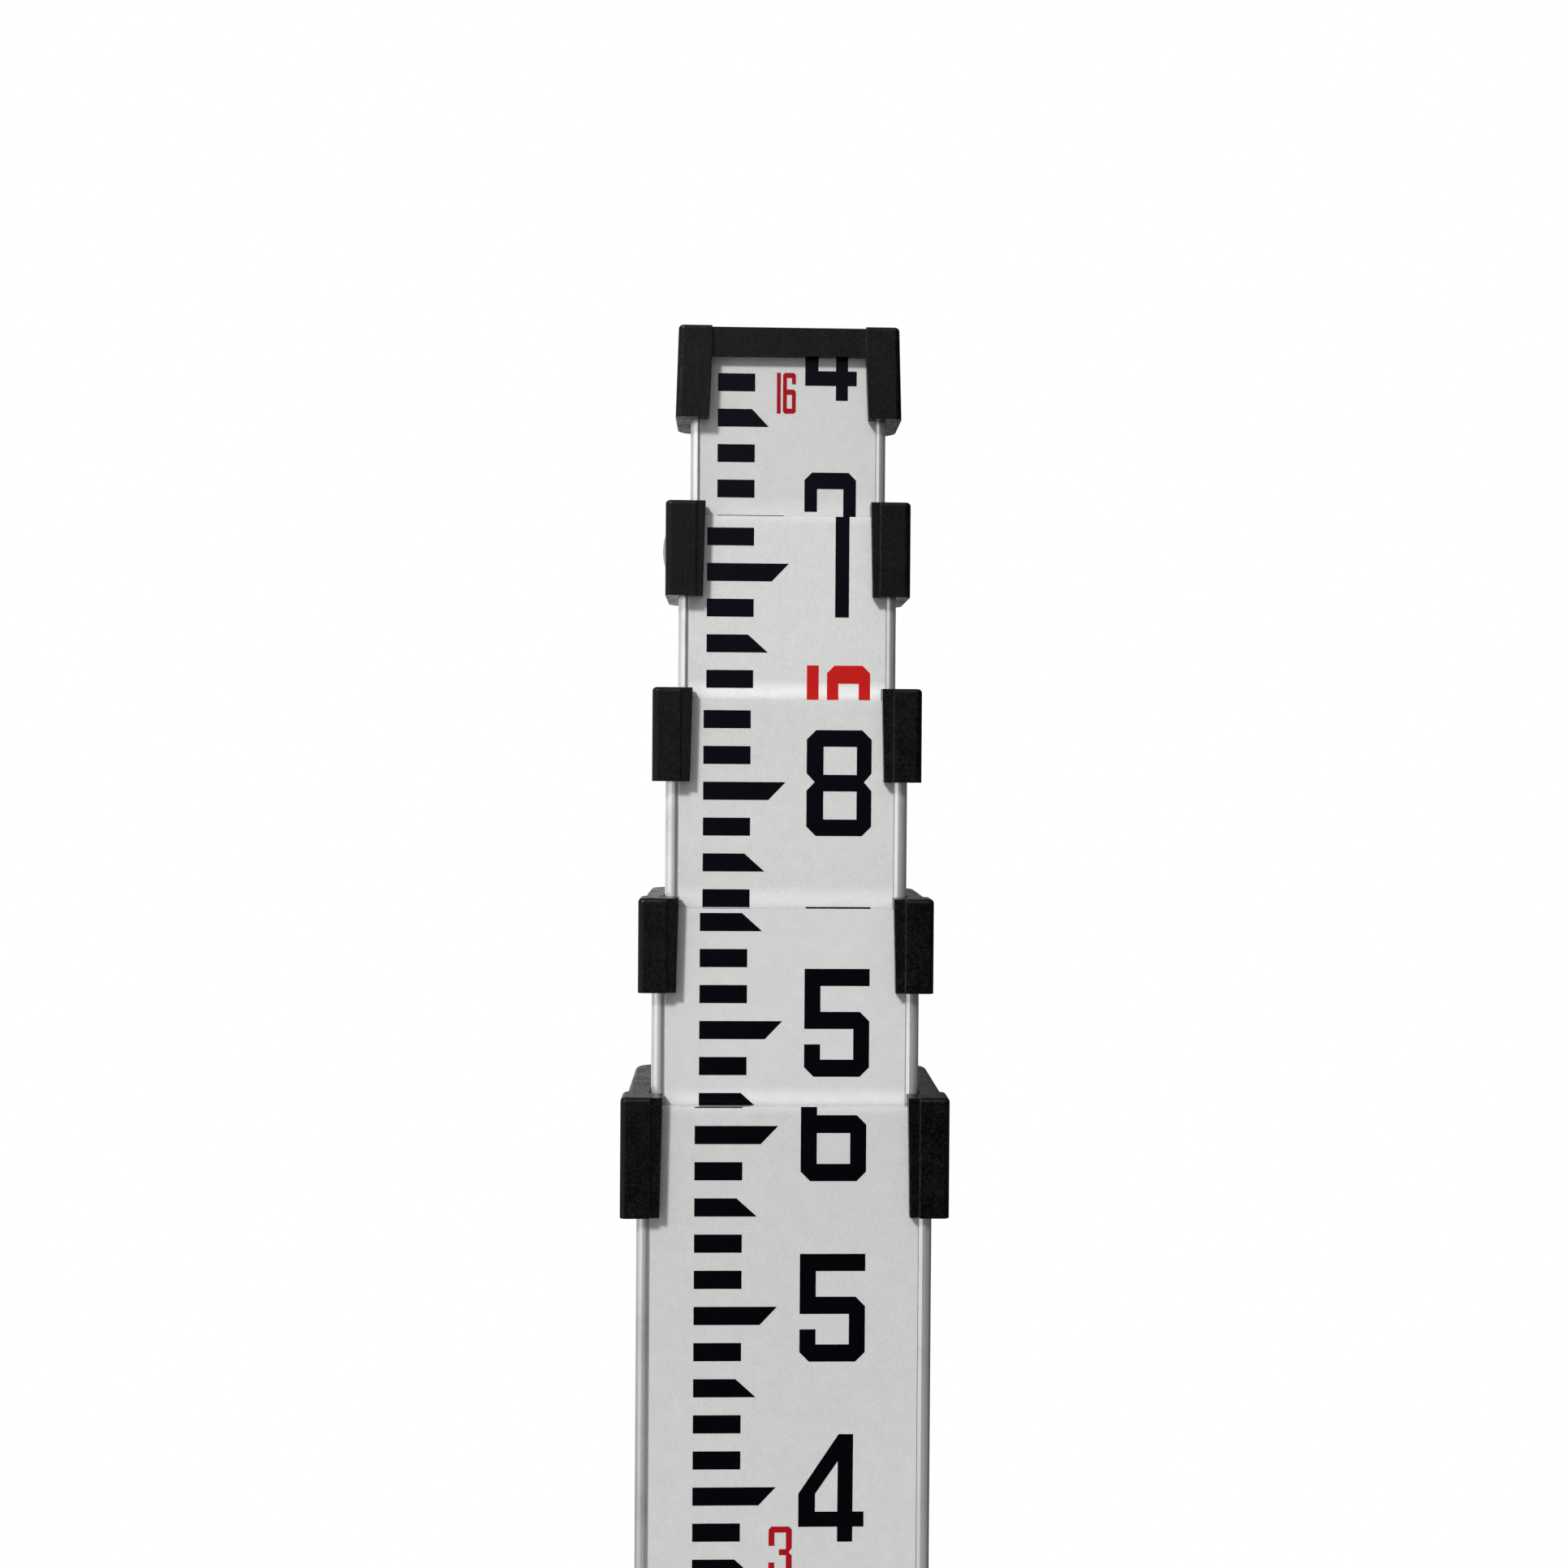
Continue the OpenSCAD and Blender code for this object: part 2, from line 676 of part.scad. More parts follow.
// Countersunk screw from below
module foot_screw(x, gap) {
    head_h = (foot_screw_head - foot_screw_d) / 2;
    translate([x * foot_screw_x, 0, 0]) {
        cylinder(d = foot_screw_d + 2 * gap, h = foot_screw_l + gap, $fn = round_fn);
        cylinder(d1 = foot_screw_head + 2 * gap, d2 = foot_screw_d + 2 * gap, h = head_h, $fn = round_fn);
    }
}

module foot_screws() {
    color(steel)
        for (x = [-1, 1])
            difference() {
                foot_screw(x, 0);
                // hexagon socket
                translate([x * foot_screw_x, 0, -skin])
                    cylinder(d = foot_screw_hex, h = foot_screw_hex_deep + skin, $fn = 6);
            }
}

module foot_plate() {
    color(steel)
        difference() {
            linear_extrude(plate_t)
                rounded(2 * (shoe_half_w - plate_inset), 2 * (shoe_half_d - plate_inset),
                        back_r - plate_inset);
            for (x = [-1, 1])
                foot_screw(x, fit_gap);
        }
}

module shoe_rivets() {
    outside = out_w(1) / 2 + shoe_wall;
    color(steel)
        for (x = [-1, 1])
            translate([x * in_w(1) / 2, 0, shoe_rivet_z])
                rotate([0, x * 90, 0]) {
                    cylinder(d = rivet_d, h = outside - in_w(1) / 2 + skin, $fn = round_fn);
                    translate([0, 0, outside - in_w(1) / 2])
                        dome(rivet_head_d, rivet_head_h);
                }
}

module foot_buffer() {
    color(rubber)
        translate([0, 0, tube_1_foot])
            linear_extrude(buffer_t)
                rounded(in_w(1) - 2 * guide_gap, in_d(1) - 2 * guide_gap, corner_r);
}

foot_plate();
foot_screws();
foot_shoe();
shoe_rivets();
foot_buffer();
tube(1);  // tube_1
tube(2);  // tube_2
tube(3);  // tube_3
tube(4);  // tube_4
tube(5);  // tube_5
collar(1);  // collar_1
collar(2);  // collar_2
collar(3);  // collar_3
collar(4);  // collar_4
top_cap();
back_rivets(1, collar_rivet_z(1), collar_half_d(1));  // collar_rivets_1
back_rivets(2, collar_rivet_z(2), collar_half_d(2));  // collar_rivets_2
back_rivets(3, collar_rivet_z(3), collar_half_d(3));  // collar_rivets_3
back_rivets(4, collar_rivet_z(4), collar_half_d(4));  // collar_rivets_4
back_rivets(5, cap_rivet_z, cap_half_d);  // cap_rivets
guide(2);  // guide_2
guide(3);  // guide_3
guide(4);  // guide_4
guide(5);  // guide_5
guide_rivets(2);  // guide_rivets_2
guide_rivets(3);  // guide_rivets_3
guide_rivets(4);  // guide_rivets_4
guide_rivets(5);  // guide_rivets_5
lock_pin(2);  // lock_pin_2
lock_pin(3);  // lock_pin_3
lock_pin(4);  // lock_pin_4
lock_pin(5);  // lock_pin_5
lock_spring(2);  // lock_spring_2
lock_spring(3);  // lock_spring_3
lock_spring(4);  // lock_spring_4
snap_spring();
release_button();
button_spring();
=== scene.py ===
"""Looks of a telescopic leveling staff: white enamel, printed graduation, metal, mouldings and stage."""

import json
import math

import bmesh
import bpy
import numpy as np
from bpy.props import FloatProperty, FloatVectorProperty, PointerProperty
from mathutils import Matrix, Vector
from mathutils.geometry import tessellate_polygon

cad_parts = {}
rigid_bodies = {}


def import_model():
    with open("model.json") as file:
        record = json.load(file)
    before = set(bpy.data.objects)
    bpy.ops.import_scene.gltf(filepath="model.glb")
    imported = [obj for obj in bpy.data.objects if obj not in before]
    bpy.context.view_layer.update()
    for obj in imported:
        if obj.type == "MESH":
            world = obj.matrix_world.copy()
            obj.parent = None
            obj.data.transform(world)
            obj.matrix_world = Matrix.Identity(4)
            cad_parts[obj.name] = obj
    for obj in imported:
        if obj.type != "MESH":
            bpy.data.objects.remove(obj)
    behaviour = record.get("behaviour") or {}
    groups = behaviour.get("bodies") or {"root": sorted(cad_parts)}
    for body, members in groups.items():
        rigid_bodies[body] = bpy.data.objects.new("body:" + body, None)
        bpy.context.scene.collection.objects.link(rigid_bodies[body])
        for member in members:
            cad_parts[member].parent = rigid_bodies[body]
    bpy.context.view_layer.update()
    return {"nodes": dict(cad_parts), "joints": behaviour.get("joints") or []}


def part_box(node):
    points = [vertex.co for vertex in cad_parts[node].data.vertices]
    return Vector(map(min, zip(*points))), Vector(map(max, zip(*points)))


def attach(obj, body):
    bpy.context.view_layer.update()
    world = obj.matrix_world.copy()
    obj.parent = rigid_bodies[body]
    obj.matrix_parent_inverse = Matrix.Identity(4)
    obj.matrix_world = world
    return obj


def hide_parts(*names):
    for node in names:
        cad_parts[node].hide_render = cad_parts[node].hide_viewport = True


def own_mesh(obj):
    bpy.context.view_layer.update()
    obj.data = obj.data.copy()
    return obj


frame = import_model()

bl_info = {
    "name": "Leveling Staff Looks",
    "version": (1, 0, 0),
    "blender": (4, 5, 0),
    "location": "View3D > Sidebar > Staff",
    "description": "Prints, finishes and stage for a telescopic leveling staff",
    "category": "Object",
}

MM = 0.001
FOOT = 0.3048
TENTH = FOOT / 10
HUNDREDTH = FOOT / 100
SECTIONS = (1, 2, 3, 4, 5)
# The sections that have a collar, and those that slide and have a guide and a lock pin
LOWER, UPPER = SECTIONS[:-1], SECTIONS[1:]

# The photograph's frame, in pixels, and the lens that fits the graduation in it
PHOTO_SIZE = 1932
PHOTO_FOCAL = 2000.0
SENSOR = 36.0
CAMERA_PLACE = Vector((-8.134, -285.555, 1157.339)) * MM
CAMERA_YAW, CAMERA_PITCH, CAMERA_ROLL = -0.02777, 0.00941, 0.0069

# The main light stands this far to the left of the front
LIGHT_SIDE = math.radians(34)
# The floor turns white from this distance, in metres, to this share of its radius
FADE_FROM, FADE_TO = 0.3, 0.85

# How far the print starts above the shoe, and below the section around it once that is drawn out
PRINT_OVER_SHOE = 1 * MM
PRINT_UNDER_JOINT = 6 * MM
# A bar that the panel's end cuts thinner than this is left out
THINNEST_BAR = 0.02 * MM

# Tenth figures, as shares of their width: upright stroke, cut corner, and the one's width and middle
TENTH_UPRIGHT, TENTH_CORNER = 0.245, 0.145
TENTH_ONE, TENTH_ONE_MIDDLE = 0.215, 0.54

# Foot figures beside tenth figures of full width: width of a number, of a one in it, and of its gaps
FULL_WIDTH = 11.02 * MM
FOOT_CELLS = (10.87 * MM, 2.02 * MM, 1.44 * MM)
# Strokes are upright, level and corner. A number of one digit has its own, and a lone one its own cell.
FOOT_STROKE, LONE_FOOT_STROKE = (1.95 * MM, 3.1 * MM, 1.3 * MM), (2.6 * MM, 3.1 * MM, 1.6 * MM)
LONE_FOOT_ONE = (4.7 * MM, 2.4 * MM)

# Small foot figures: height, drop below the mark, left edge and width, by section
SMALL_AT = 0.4
SMALL_CELLS = {n: (8.66 * MM, 6.67 * MM, -2.31 * MM, 4.0 * MM) for n in LOWER}
SMALL_CELLS[5] = (7.03 * MM, 5.88 * MM, -2.04 * MM, 3.28 * MM)
SMALL_ONE, SMALL_GAP = 0.205, 0.115
SMALL_STROKE, LONE_SMALL_STROKE = (0.68 * MM, 0.88 * MM, 0.35 * MM), (1.0 * MM, 1.0 * MM, 0.5 * MM)
LONE_SMALL_ONE, LONE_SMALL_WIDTH = (1.5 * MM, 1.0 * MM), 3.93 * MM

# How much lighter than their ink the pinholes in the black and in the red print are
BLACK_PINHOLES, RED_PINHOLES = 4.0, 1.3


# Sizes and colours that a user would change

def length(name, description, millimetres):
    """A length, given in millimetres."""
    return FloatProperty(name=name, description=description, default=millimetres * MM, min=0.0,
                         precision=5, unit="LENGTH")


def lengths(name, description, *millimetres):
    """A length for each section, given in millimetres."""
    return FloatVectorProperty(name=name, description=description, size=len(SECTIONS),
                               default=[x * MM for x in millimetres], precision=5, unit="LENGTH")


def tones(name, description, *factors):
    """A factor for each section."""
    return FloatVectorProperty(name=name, description=description, size=len(SECTIONS), min=0,
                               default=factors)


def colour(name, description, *rgb):
    """A colour, given as red, green and blue."""
    return FloatVectorProperty(name=name, description=description, size=3, subtype="COLOR", min=0, max=1,
                               default=rgb)


class StaffPrint(bpy.types.PropertyGroup):
    """Sizes of the printed graduation."""
    enamel: length("Enamel thickness", "Thickness of the white enamel on the panels", 0.05)
    ink: length("Ink thickness", "Thickness of the printed marks on the enamel", 0.03)
    rim: lengths("Rim widths", "Width of the raised rims beside each section's panels",
                 2.35, 2.35, 2.35, 1.8, 1.8)
    rim_rise: length("Rim height", "Height of the rim above the panel", 0.3)
    spread: length("Ink spread", "How far the bars run past their graduation line on each side", 0.005)
    bar_left: lengths("Bar left edges", "Left edge of the bars on each section",
                      -15.17, -14.57, -14.22, -13.84, -12.19)
    bar_length: lengths("Bar lengths", "Length of a plain bar on each section",
                        8.02, 8.02, 8.02, 8.02, 6.4)
    half_top: lengths("Half mark tops", "Top length of the mark at five hundredths",
                      7.1, 7.1, 7.1, 7.1, 5.9)
    half_foot: lengths("Half mark feet", "Bottom length of the mark at five hundredths",
                       10.5, 10.5, 10.5, 10.5, 8.8)
    tenth_top: lengths("Tenth mark tops", "Top length of the mark at each tenth",
                       14.0, 14.0, 14.0, 14.0, 11.5)
    tenth_foot: lengths("Tenth mark feet", "Bottom length of the mark at each tenth",
                        11.1, 11.1, 11.1, 11.1, 9.1)
    figure_left: lengths("Figure left edges", "Left edge of the tenth figures on each section",
                         2.66, 3.2, 3.38, 3.4, 2.84)
    figure_width: lengths("Figure widths", "Width of the tenth figures on each section",
                          11.02, 11.02, 11.07, 11.02, 8.9)
    figure_height: lengths("Figure heights", "Height of the tenth figures on each section",
                           18.2, 18.3, 18.05, 18.05, 18.05)
    seven_rise: length("Rise of the seven", "How much taller the black seven is than the other figures",
                       0.17)
    figure_level: lengths("Figure level strokes", "Height of the tenth figures' level strokes",
                          2.9, 2.9, 2.82, 2.82, 2.82)
    figure_drop: lengths("Figure drop", "How far the figures' middle lies below their mark",
                         0.18, 0.255, 0.1, 0.1, 1.55)
    foot_height: length("Foot figure height", "Height of the red foot figures", 26.4)


class StaffFinish(bpy.types.PropertyGroup):
    """Colours of the finishes, and the light and shade painted on the enamel."""
    enamel: colour("Enamel", "Colour of the panels", 0.62, 0.62, 0.615)
    # partly painted light and shade: each section's enamel is made lighter or darker by how brightly it is
    # lit, darkest on the lowest section
    panel_tone: tones("Panel tones", "Brightness of each section's enamel beside the common colour",
                      0.92, 0.985, 0.99, 1.04, 0.975)
    # painted light: a paler band on each panel just above the section below it, where light bounces off that
    # section's top edge
    joint_gain: tones("Joint bands", "How much paler each panel is just above the section below it",
                      0.0, 0.16, 0.145, 0.28, 0.07)
    joint_rise: lengths("Joint band heights", "Height of each pale band above the section below it",
                        0.0, 1.35, 2.0, 1.65, 1.8)
    # painted highlight: each panel paler along its top edge, where the top of the section's wall catches the
    # light
    top_gain: tones("Top edges", "How much paler each panel is at its top", 0.14, 0.02, 0.04, 0.14, 0.0)
    black_ink: colour("Black ink", "Colour of the bars and tenth figures", 0.0001, 0.0001, 0.0002)
    red_ink: colour("Red ink", "Colour of the foot figures", 0.5, 0.012, 0.009)
    small_red: colour("Small red", "Colour of the small foot figures", 0.33, 0.006, 0.011)
    aluminium: colour("Aluminium", "Colour of the bare extrusions", 0.72, 0.72, 0.725)
    moulding: colour("Black moulding", "Colour of the collars, cap and shoe", 0.0002, 0.0004, 0.0008)


class StaffStage(bpy.types.PropertyGroup):
    """Light and floor."""
    ambient: FloatProperty(
        name="Soft light", description="Strength of the soft light, which is brightest from the upper left",
        default=0.72, min=0)
    key: FloatProperty(
        name="Main light", description="Strength of the main light from the upper left", default=3.06, min=0)
    key_angle: FloatProperty(
        name="Main light width", description="Angle that the main light fills", default=math.radians(9),
        subtype="ANGLE", unit="ROTATION")
    floor_radius: FloatProperty(
        name="Floor radius", description="Radius of the round floor", default=1.3, unit="LENGTH")
    floor: colour("Floor colour", "Colour of the floor", 0.8, 0.8, 0.8)


# Meshes

def new_object(name, data):
    """Puts a new object in the scene."""
    made = bpy.data.objects.new(name, data)
    bpy.context.scene.collection.objects.link(made)
    return made


def new_piece(kind, n, shape, material):
    """Makes section n's closed mesh piece of a kind from (points, index faces), and rides it there."""
    points, faces = shape
    mesh = bpy.data.meshes.new(f"{kind}_{n}")
    mesh.from_pydata(points.tolist(), [], faces)
    mesh.validate()
    mesh.materials.append(material)
    piece = new_object(mesh.name, mesh)
    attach(piece, f"section_{n}")
    return piece


def prism(outline, back, front):
    """A closed prism per outline: corner k of outline i stands at (x, y, z) for both depths.

    outline has the shape (count, corners, 2), holds x and z anticlockwise as the front sees them, and is
    carried along Y from the depth back to the depth front.
    """
    count, corners, _ = outline.shape
    points = np.empty((count, 2, corners, 3))
    points[..., 0] = outline[:, None, :, 0]
    points[..., 2] = outline[:, None, :, 1]
    points[:, 0, :, 1] = front
    points[:, 1, :, 1] = back
    k = np.arange(corners)
    after = (k + 1) % corners
    walls = np.stack([k, k + corners, after + corners, after], 1)
    start = np.arange(count)[:, None] * 2 * corners
    faces = (start + k).tolist() + (start + corners + k[::-1]).tolist()
    faces += (start[:, :, None] + walls[None]).reshape(-1, 4).tolist()
    return points.reshape(-1, 3), faces


def join(parts):
    """Stacks (points, faces) pairs into one pair."""
    points, faces, start = [], [], 0
    for some_points, some_faces in parts:
        points.append(some_points)
        faces += [[i + start for i in face] for face in some_faces]
        start += len(some_points)
    return np.concatenate(points), faces


# Points nearer to each other than this, in metres, are one, and those nearer to a cut lie on it
SAME_POINT, ON_CUT = 1e-7, 1e-8


def merge_doubles(mesh):
    """Joins the loose triangles of a mesh at the points that they share."""
    work = bmesh.new()
    work.from_mesh(mesh)
    bmesh.ops.remove_doubles(work, verts=work.verts[:], dist=SAME_POINT)
    work.to_mesh(mesh)
    work.free()


def cut_to(piece, low, high):
    """Cuts a piece off at two heights and closes the cuts."""
    work = bmesh.new()
    work.from_mesh(piece.data)
    for height, side in ((low, -1), (high, 1)):
        geometry = work.verts[:] + work.edges[:] + work.faces[:]
        cut = bmesh.ops.bisect_plane(work, geom=geometry, dist=ON_CUT, plane_co=(0, 0, height),
                                     plane_no=(0, 0, side), clear_outer=True)
        edges = [e for e in cut["geom_cut"] if isinstance(e, bmesh.types.BMEdge)]
        if edges:
            bmesh.ops.holes_fill(work, edges=edges, sides=0)
    bmesh.ops.recalc_face_normals(work, faces=work.faces[:])
    work.to_mesh(piece.data)
    work.free()


# Figures: outlines in a unit cell, x to the right and y up

def window(left, low, right, high):
    """The four corners of an upright rectangle, anticlockwise from its lower left."""
    return [(left, low), (right, low), (right, high), (left, high)]


def figure_loops(digit, a, b, cx, cy):
    """Outline loops of a squared figure with cut corners, in a cell of width 1 and height 1.

    a is the width of an upright stroke, b the height of a level one, and cx and cy the cut corners' size.
    The first loop is the outside and the others are its windows.
    """
    m0, m1 = 0.5 - b / 2, 0.5 + b / 2
    five_0, five_1 = m0 + 0.0225, m1 + 0.0225
    six_0, six_1 = m0 + 0.025, m1 + 0.031
    right, top = 1 - a, 1 - b
    # an eight's left strokes are a little wider than its right ones
    left_8, right_8 = a + 0.014, right + 0.018
    # the cut corners at the foot and at the crown of an outline
    foot, crown = [(cx, 0), (1 - cx, 0), (1, cy)], [(1, 1 - cy), (1 - cx, 1), (cx, 1), (0, 1 - cy)]
    five = [(0, 1), (1, 1), (1, top), (a, top), (a, five_1), (1 - cx, five_1), (1, five_1 - cy), (1, cy),
            (1 - cx, 0), (cx, 0), (0, cy), (0, 0.3), (a, 0.3), (a, b), (right, b), (right, five_0),
            (0, five_0)]
    six = foot + [(1, six_1 - cy), (1 - cx, six_1), (a, six_1), (a, top), (right, top), (right, 0.72),
                  (1, 0.72)] + crown + [(0, cy)]
    six_window = window(a, b, right, six_0)
    loops = {
        0: [foot + crown + [(0, cy)], window(a, b, right, top)],
        1: [window(0, 0, 1, 1)],
        3: [foot + [(1, 0.43), (0.87, 0.5), (1, 0.58)] + crown +
            [(0, 0.625), (a, 0.625), (a, top), (right, top), (right, m1), (0.45, m1), (0.45, m0),
             (right, m0), (right, b), (a, b), (a, 0.3), (0, 0.3), (0, cy)]],
        4: [[(0.61, 1), (0.833, 1), (0.83, 0.28), (1, 0.28), (1, 0.14), (0.83, 0.14), (0.83, 0), (0.597, 0),
             (0.597, 0.14), (0, 0.14), (0, 0.447)],
            [(0.256, 0.447), (0.6, 0.75), (0.597, 0.28), (0.256, 0.28)]],
        5: [five],
        6: [six, six_window],
        7: [[(0, 1.008), (0, top), (right - 0.02, top), (0.3, 0), (0.32 + a, 0), (1, top - 0.04),
             (1, 1.008)]],
        8: [foot + [(1, 0.428), (0.884, 0.509), (1, 0.592)] + crown +
            [(0, 0.592), (0.125, 0.509), (0, 0.428), (0, cy)],
            window(left_8, b, right_8, m0), window(left_8, m1, right_8, top)],
    }
    # A two is an upside-down five, and a nine is a six turned half round
    loops[2] = [[(x, 1 - y) for x, y in five]]
    loops[9] = [[(1 - x, 1 - y) for x, y in loop] for loop in (six, six_window)]
    return loops[digit]


def figure(digit, left, low, width, height, stroke, back, front):
    """A closed thin figure: its loops, scaled to the cell, are filled front and back and joined by walls.

    stroke is (upright stroke, level stroke, corner) in metres.
    """
    upright, level, corner = stroke
    loops = figure_loops(digit, upright / width, level / height, corner / width, corner / height)
    flat, walls, start = [], [], 0
    for number, loop in enumerate(loops):
        xy = np.array(loop)
        area = np.sum(xy[:, 0] * np.roll(xy[:, 1], -1) - np.roll(xy[:, 0], -1) * xy[:, 1])
        # the outside runs anticlockwise, the windows clockwise
        if (area > 0) != (number == 0):
            xy = xy[::-1]
        k = np.arange(len(xy))
        walls.append(np.stack([k, (k + 1) % len(xy)], 1) + start)
        start += len(xy)
        flat.append(xy)
    triangles = np.array(tessellate_polygon([[Vector((x, y, 0)) for x, y in loop] for loop in flat]))
    xy = np.concatenate(flat)
    p, q, r = (xy[triangles[:, i]] for i in range(3))
    turn = (q[:, 0] - p[:, 0]) * (r[:, 1] - p[:, 1]) - (q[:, 1] - p[:, 1]) * (r[:, 0] - p[:, 0])
    triangles = np.where(turn[:, None] < 0, triangles[:, ::-1], triangles)
    walls = np.concatenate(walls)
    count = len(xy)
    points = np.empty((2, count, 3))
    points[..., 0] = left + xy[:, 0] * width
    points[..., 2] = low + xy[:, 1] * height
    points[0, :, 1], points[1, :, 1] = front, back
    p, q = walls[:, 0], walls[:, 1]
    quads = np.stack([p, p + count, q + count, q], 1)
    faces = triangles.tolist() + (triangles[:, ::-1] + count).tolist() + quads.tolist()
    return points.reshape(-1, 3), faces


def figures_in(cells, low, height, stroke, back, front):
    """A figure in each cell (digit, left, width) of a number, all at one height."""
    return [figure(digit, left, low, width, height, stroke, back, front) for digit, left, width in cells]


def number_cells(text, left, width, one_width, gap):
    """Cells (digit, left, width) of a number: a one is a narrow bar, and the other digits share the rest."""
    ones = text.count("1")
    others = len(text) - ones
    rest = (width - ones * one_width - (len(text) - 1) * gap) / max(others, 1)
    cells = []
    for digit in text:
        wide = one_width if digit == "1" else rest
        cells.append((int(digit), left, wide))
        left += wide + gap
    return cells


# Where the print lies on each section

def travel(n):
    """How far section n slides out of section n - 1, in metres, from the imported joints."""
    found = [j["range_m"][1] for j in frame["joints"] if j["name"] == f"section_{n}_slide"]
    if not found:
        raise RuntimeError(f"the packed model has no slide for section {n}")
    return found[0]


def reading_shift(n):
    """What is added to a closed height on section n to get its reading when all is drawn out."""
    return sum(travel(k) for k in range(2, n + 1))


def print_range(n):
    """Lowest and highest closed height of the print on section n: what shows when it is drawn out."""
    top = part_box(f"tube_{n}")[1].z
    if n == 1:
        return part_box("foot_shoe")[1].z + PRINT_OVER_SHOE, top
    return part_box(f"tube_{n - 1}")[1].z - travel(n) - PRINT_UNDER_JOINT, top


def panel_depths(n, sizes):
    """Depth of the front panel, of the enamel's face and of the ink's face on section n."""
    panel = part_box(f"tube_{n}")[0].y + sizes.rim_rise
    return panel, panel - sizes.enamel, panel - sizes.enamel - sizes.ink


def print_place(n, sizes):
    """Section n's place in the lists of sizes, its print's two heights and its ink's back and face."""
    _, back, face = panel_depths(n, sizes)
    return n - 1, *print_range(n), back, face


def marks(low, high, n, step):
    """The whole numbers of steps whose readings lie on section n's print, a little more at both ends."""
    shift = reading_shift(n)
    return np.arange(math.floor((low + shift) / step) - 1, math.ceil((high + shift) / step) + 2)


# Shader nodes

def add(tree, kind, inputs=None, **settings):
    """Adds a node with its settings. An input is a plain value or another node's output."""
    made = tree.nodes.new(kind)
    for key, value in settings.items():
        setattr(made, key, value)
    for key, value in (inputs or {}).items():
        if isinstance(value, bpy.types.NodeSocket):
            tree.links.new(value, made.inputs[key])
        else:
            made.inputs[key].default_value = value
    return made


def reckon(tree, kind, *values, clamp=False):
    """Adds one node of arithmetic on plain values or sockets. Returns its socket."""
    return add(tree, "ShaderNodeMath", dict(enumerate(values)), operation=kind, use_clamp=clamp).outputs[0]


def times(tree, product, *others, clamp=False):
    """The product of plain values or sockets. Returns its socket."""
    for other in others:
        product = reckon(tree, "MULTIPLY", product, other, clamp=clamp)
    return product


def carry(tree, value, low=0.0, high=1.0, ends=(0.0, 1.0), kind="LINEAR"):
    """Carries a value from between two ends to the range low to high, and no further. Returns the socket."""
    return add(tree, "ShaderNodeMapRange",
               {"Value": value, "From Min": ends[0], "From Max": ends[1], "To Min": low, "To Max": high},
               interpolation_type=kind).outputs["Result"]


def new_group(name, inputs, outputs):
    """An empty node group with float inputs {name: default} and outputs {name: socket type}."""
    tree = bpy.data.node_groups.new(name, "ShaderNodeTree")
    for key, value in inputs.items():
        tree.interface.new_socket(key, in_out="INPUT", socket_type="NodeSocketFloat").default_value = value
    for key, kind in outputs.items():
        tree.interface.new_socket(key, in_out="OUTPUT", socket_type=kind)
    return tree, add(tree, "NodeGroupInput").outputs, add(tree, "NodeGroupOutput").inputs


def object_place(tree):
    """The object's own coordinates, in metres."""
    return add(tree, "ShaderNodeTexCoord").outputs["Object"]


def stretched_noise(tree, stretch, scale, detail, roughness=0.6):
    """Noise over the object's own coordinates, stretched by a factor per axis. Returns its socket."""
    mapped = add(tree, "ShaderNodeMapping", {"Vector": object_place(tree), "Scale": stretch})
    return add(tree, "ShaderNodeTexNoise",
               {"Vector": mapped.outputs["Vector"], "Scale": scale, "Detail": detail,
                "Roughness": roughness}).outputs["Fac"]


def build_draw_lines(name):
    """Fine lines along Z, as an extrusion die leaves them, with a slow change along the length."""
    tree, given, out = new_group(name, {"Lines per metre": 2500.0}, {"Value": "NodeSocketFloat"})
    fine = stretched_noise(tree, (1, 1, 0.004), given[0], 3.0)
    slow = stretched_noise(tree, (1, 1, 0.03), 140.0, 2.0)
    slow = times(tree, slow, 0.4)
    tree.links.new(reckon(tree, "MULTIPLY_ADD", fine, 0.6, slow), out[0])
    return tree


def build_grain(name):
    """Moulded or sprayed grain: fine noise with a little coarse noise under it."""
    tree, given, out = new_group(name, {"Grains per metre": 5000.0}, {"Value": "NodeSocketFloat"})
    fine = stretched_noise(tree, (1, 1, 1), given[0], 2.0, 0.5)
    coarse = stretched_noise(tree, (1, 1, 1), times(tree, given[0], 0.13), 3.0)
    coarse = times(tree, coarse, 0.35)
    tree.links.new(reckon(tree, "MULTIPLY_ADD", fine, 0.65, coarse), out[0])
    return tree


def build_blotches(name):
    """Soft patches where noise passes a level: dust, smudges, pits or scuffs by their size and level."""
    tree, given, out = new_group(
        name, {"Patches per metre": 60.0, "Level": 0.6, "Softness": 0.1}, {"Mask": "NodeSocketFloat"})
    noise = stretched_noise(tree, (1, 1, 1), given["Patches per metre"], 4.0)
    upper = reckon(tree, "ADD", given["Level"], given["Softness"])
    tree.links.new(carry(tree, noise, ends=(given["Level"], upper), kind="SMOOTHSTEP"), out[0])
    return tree


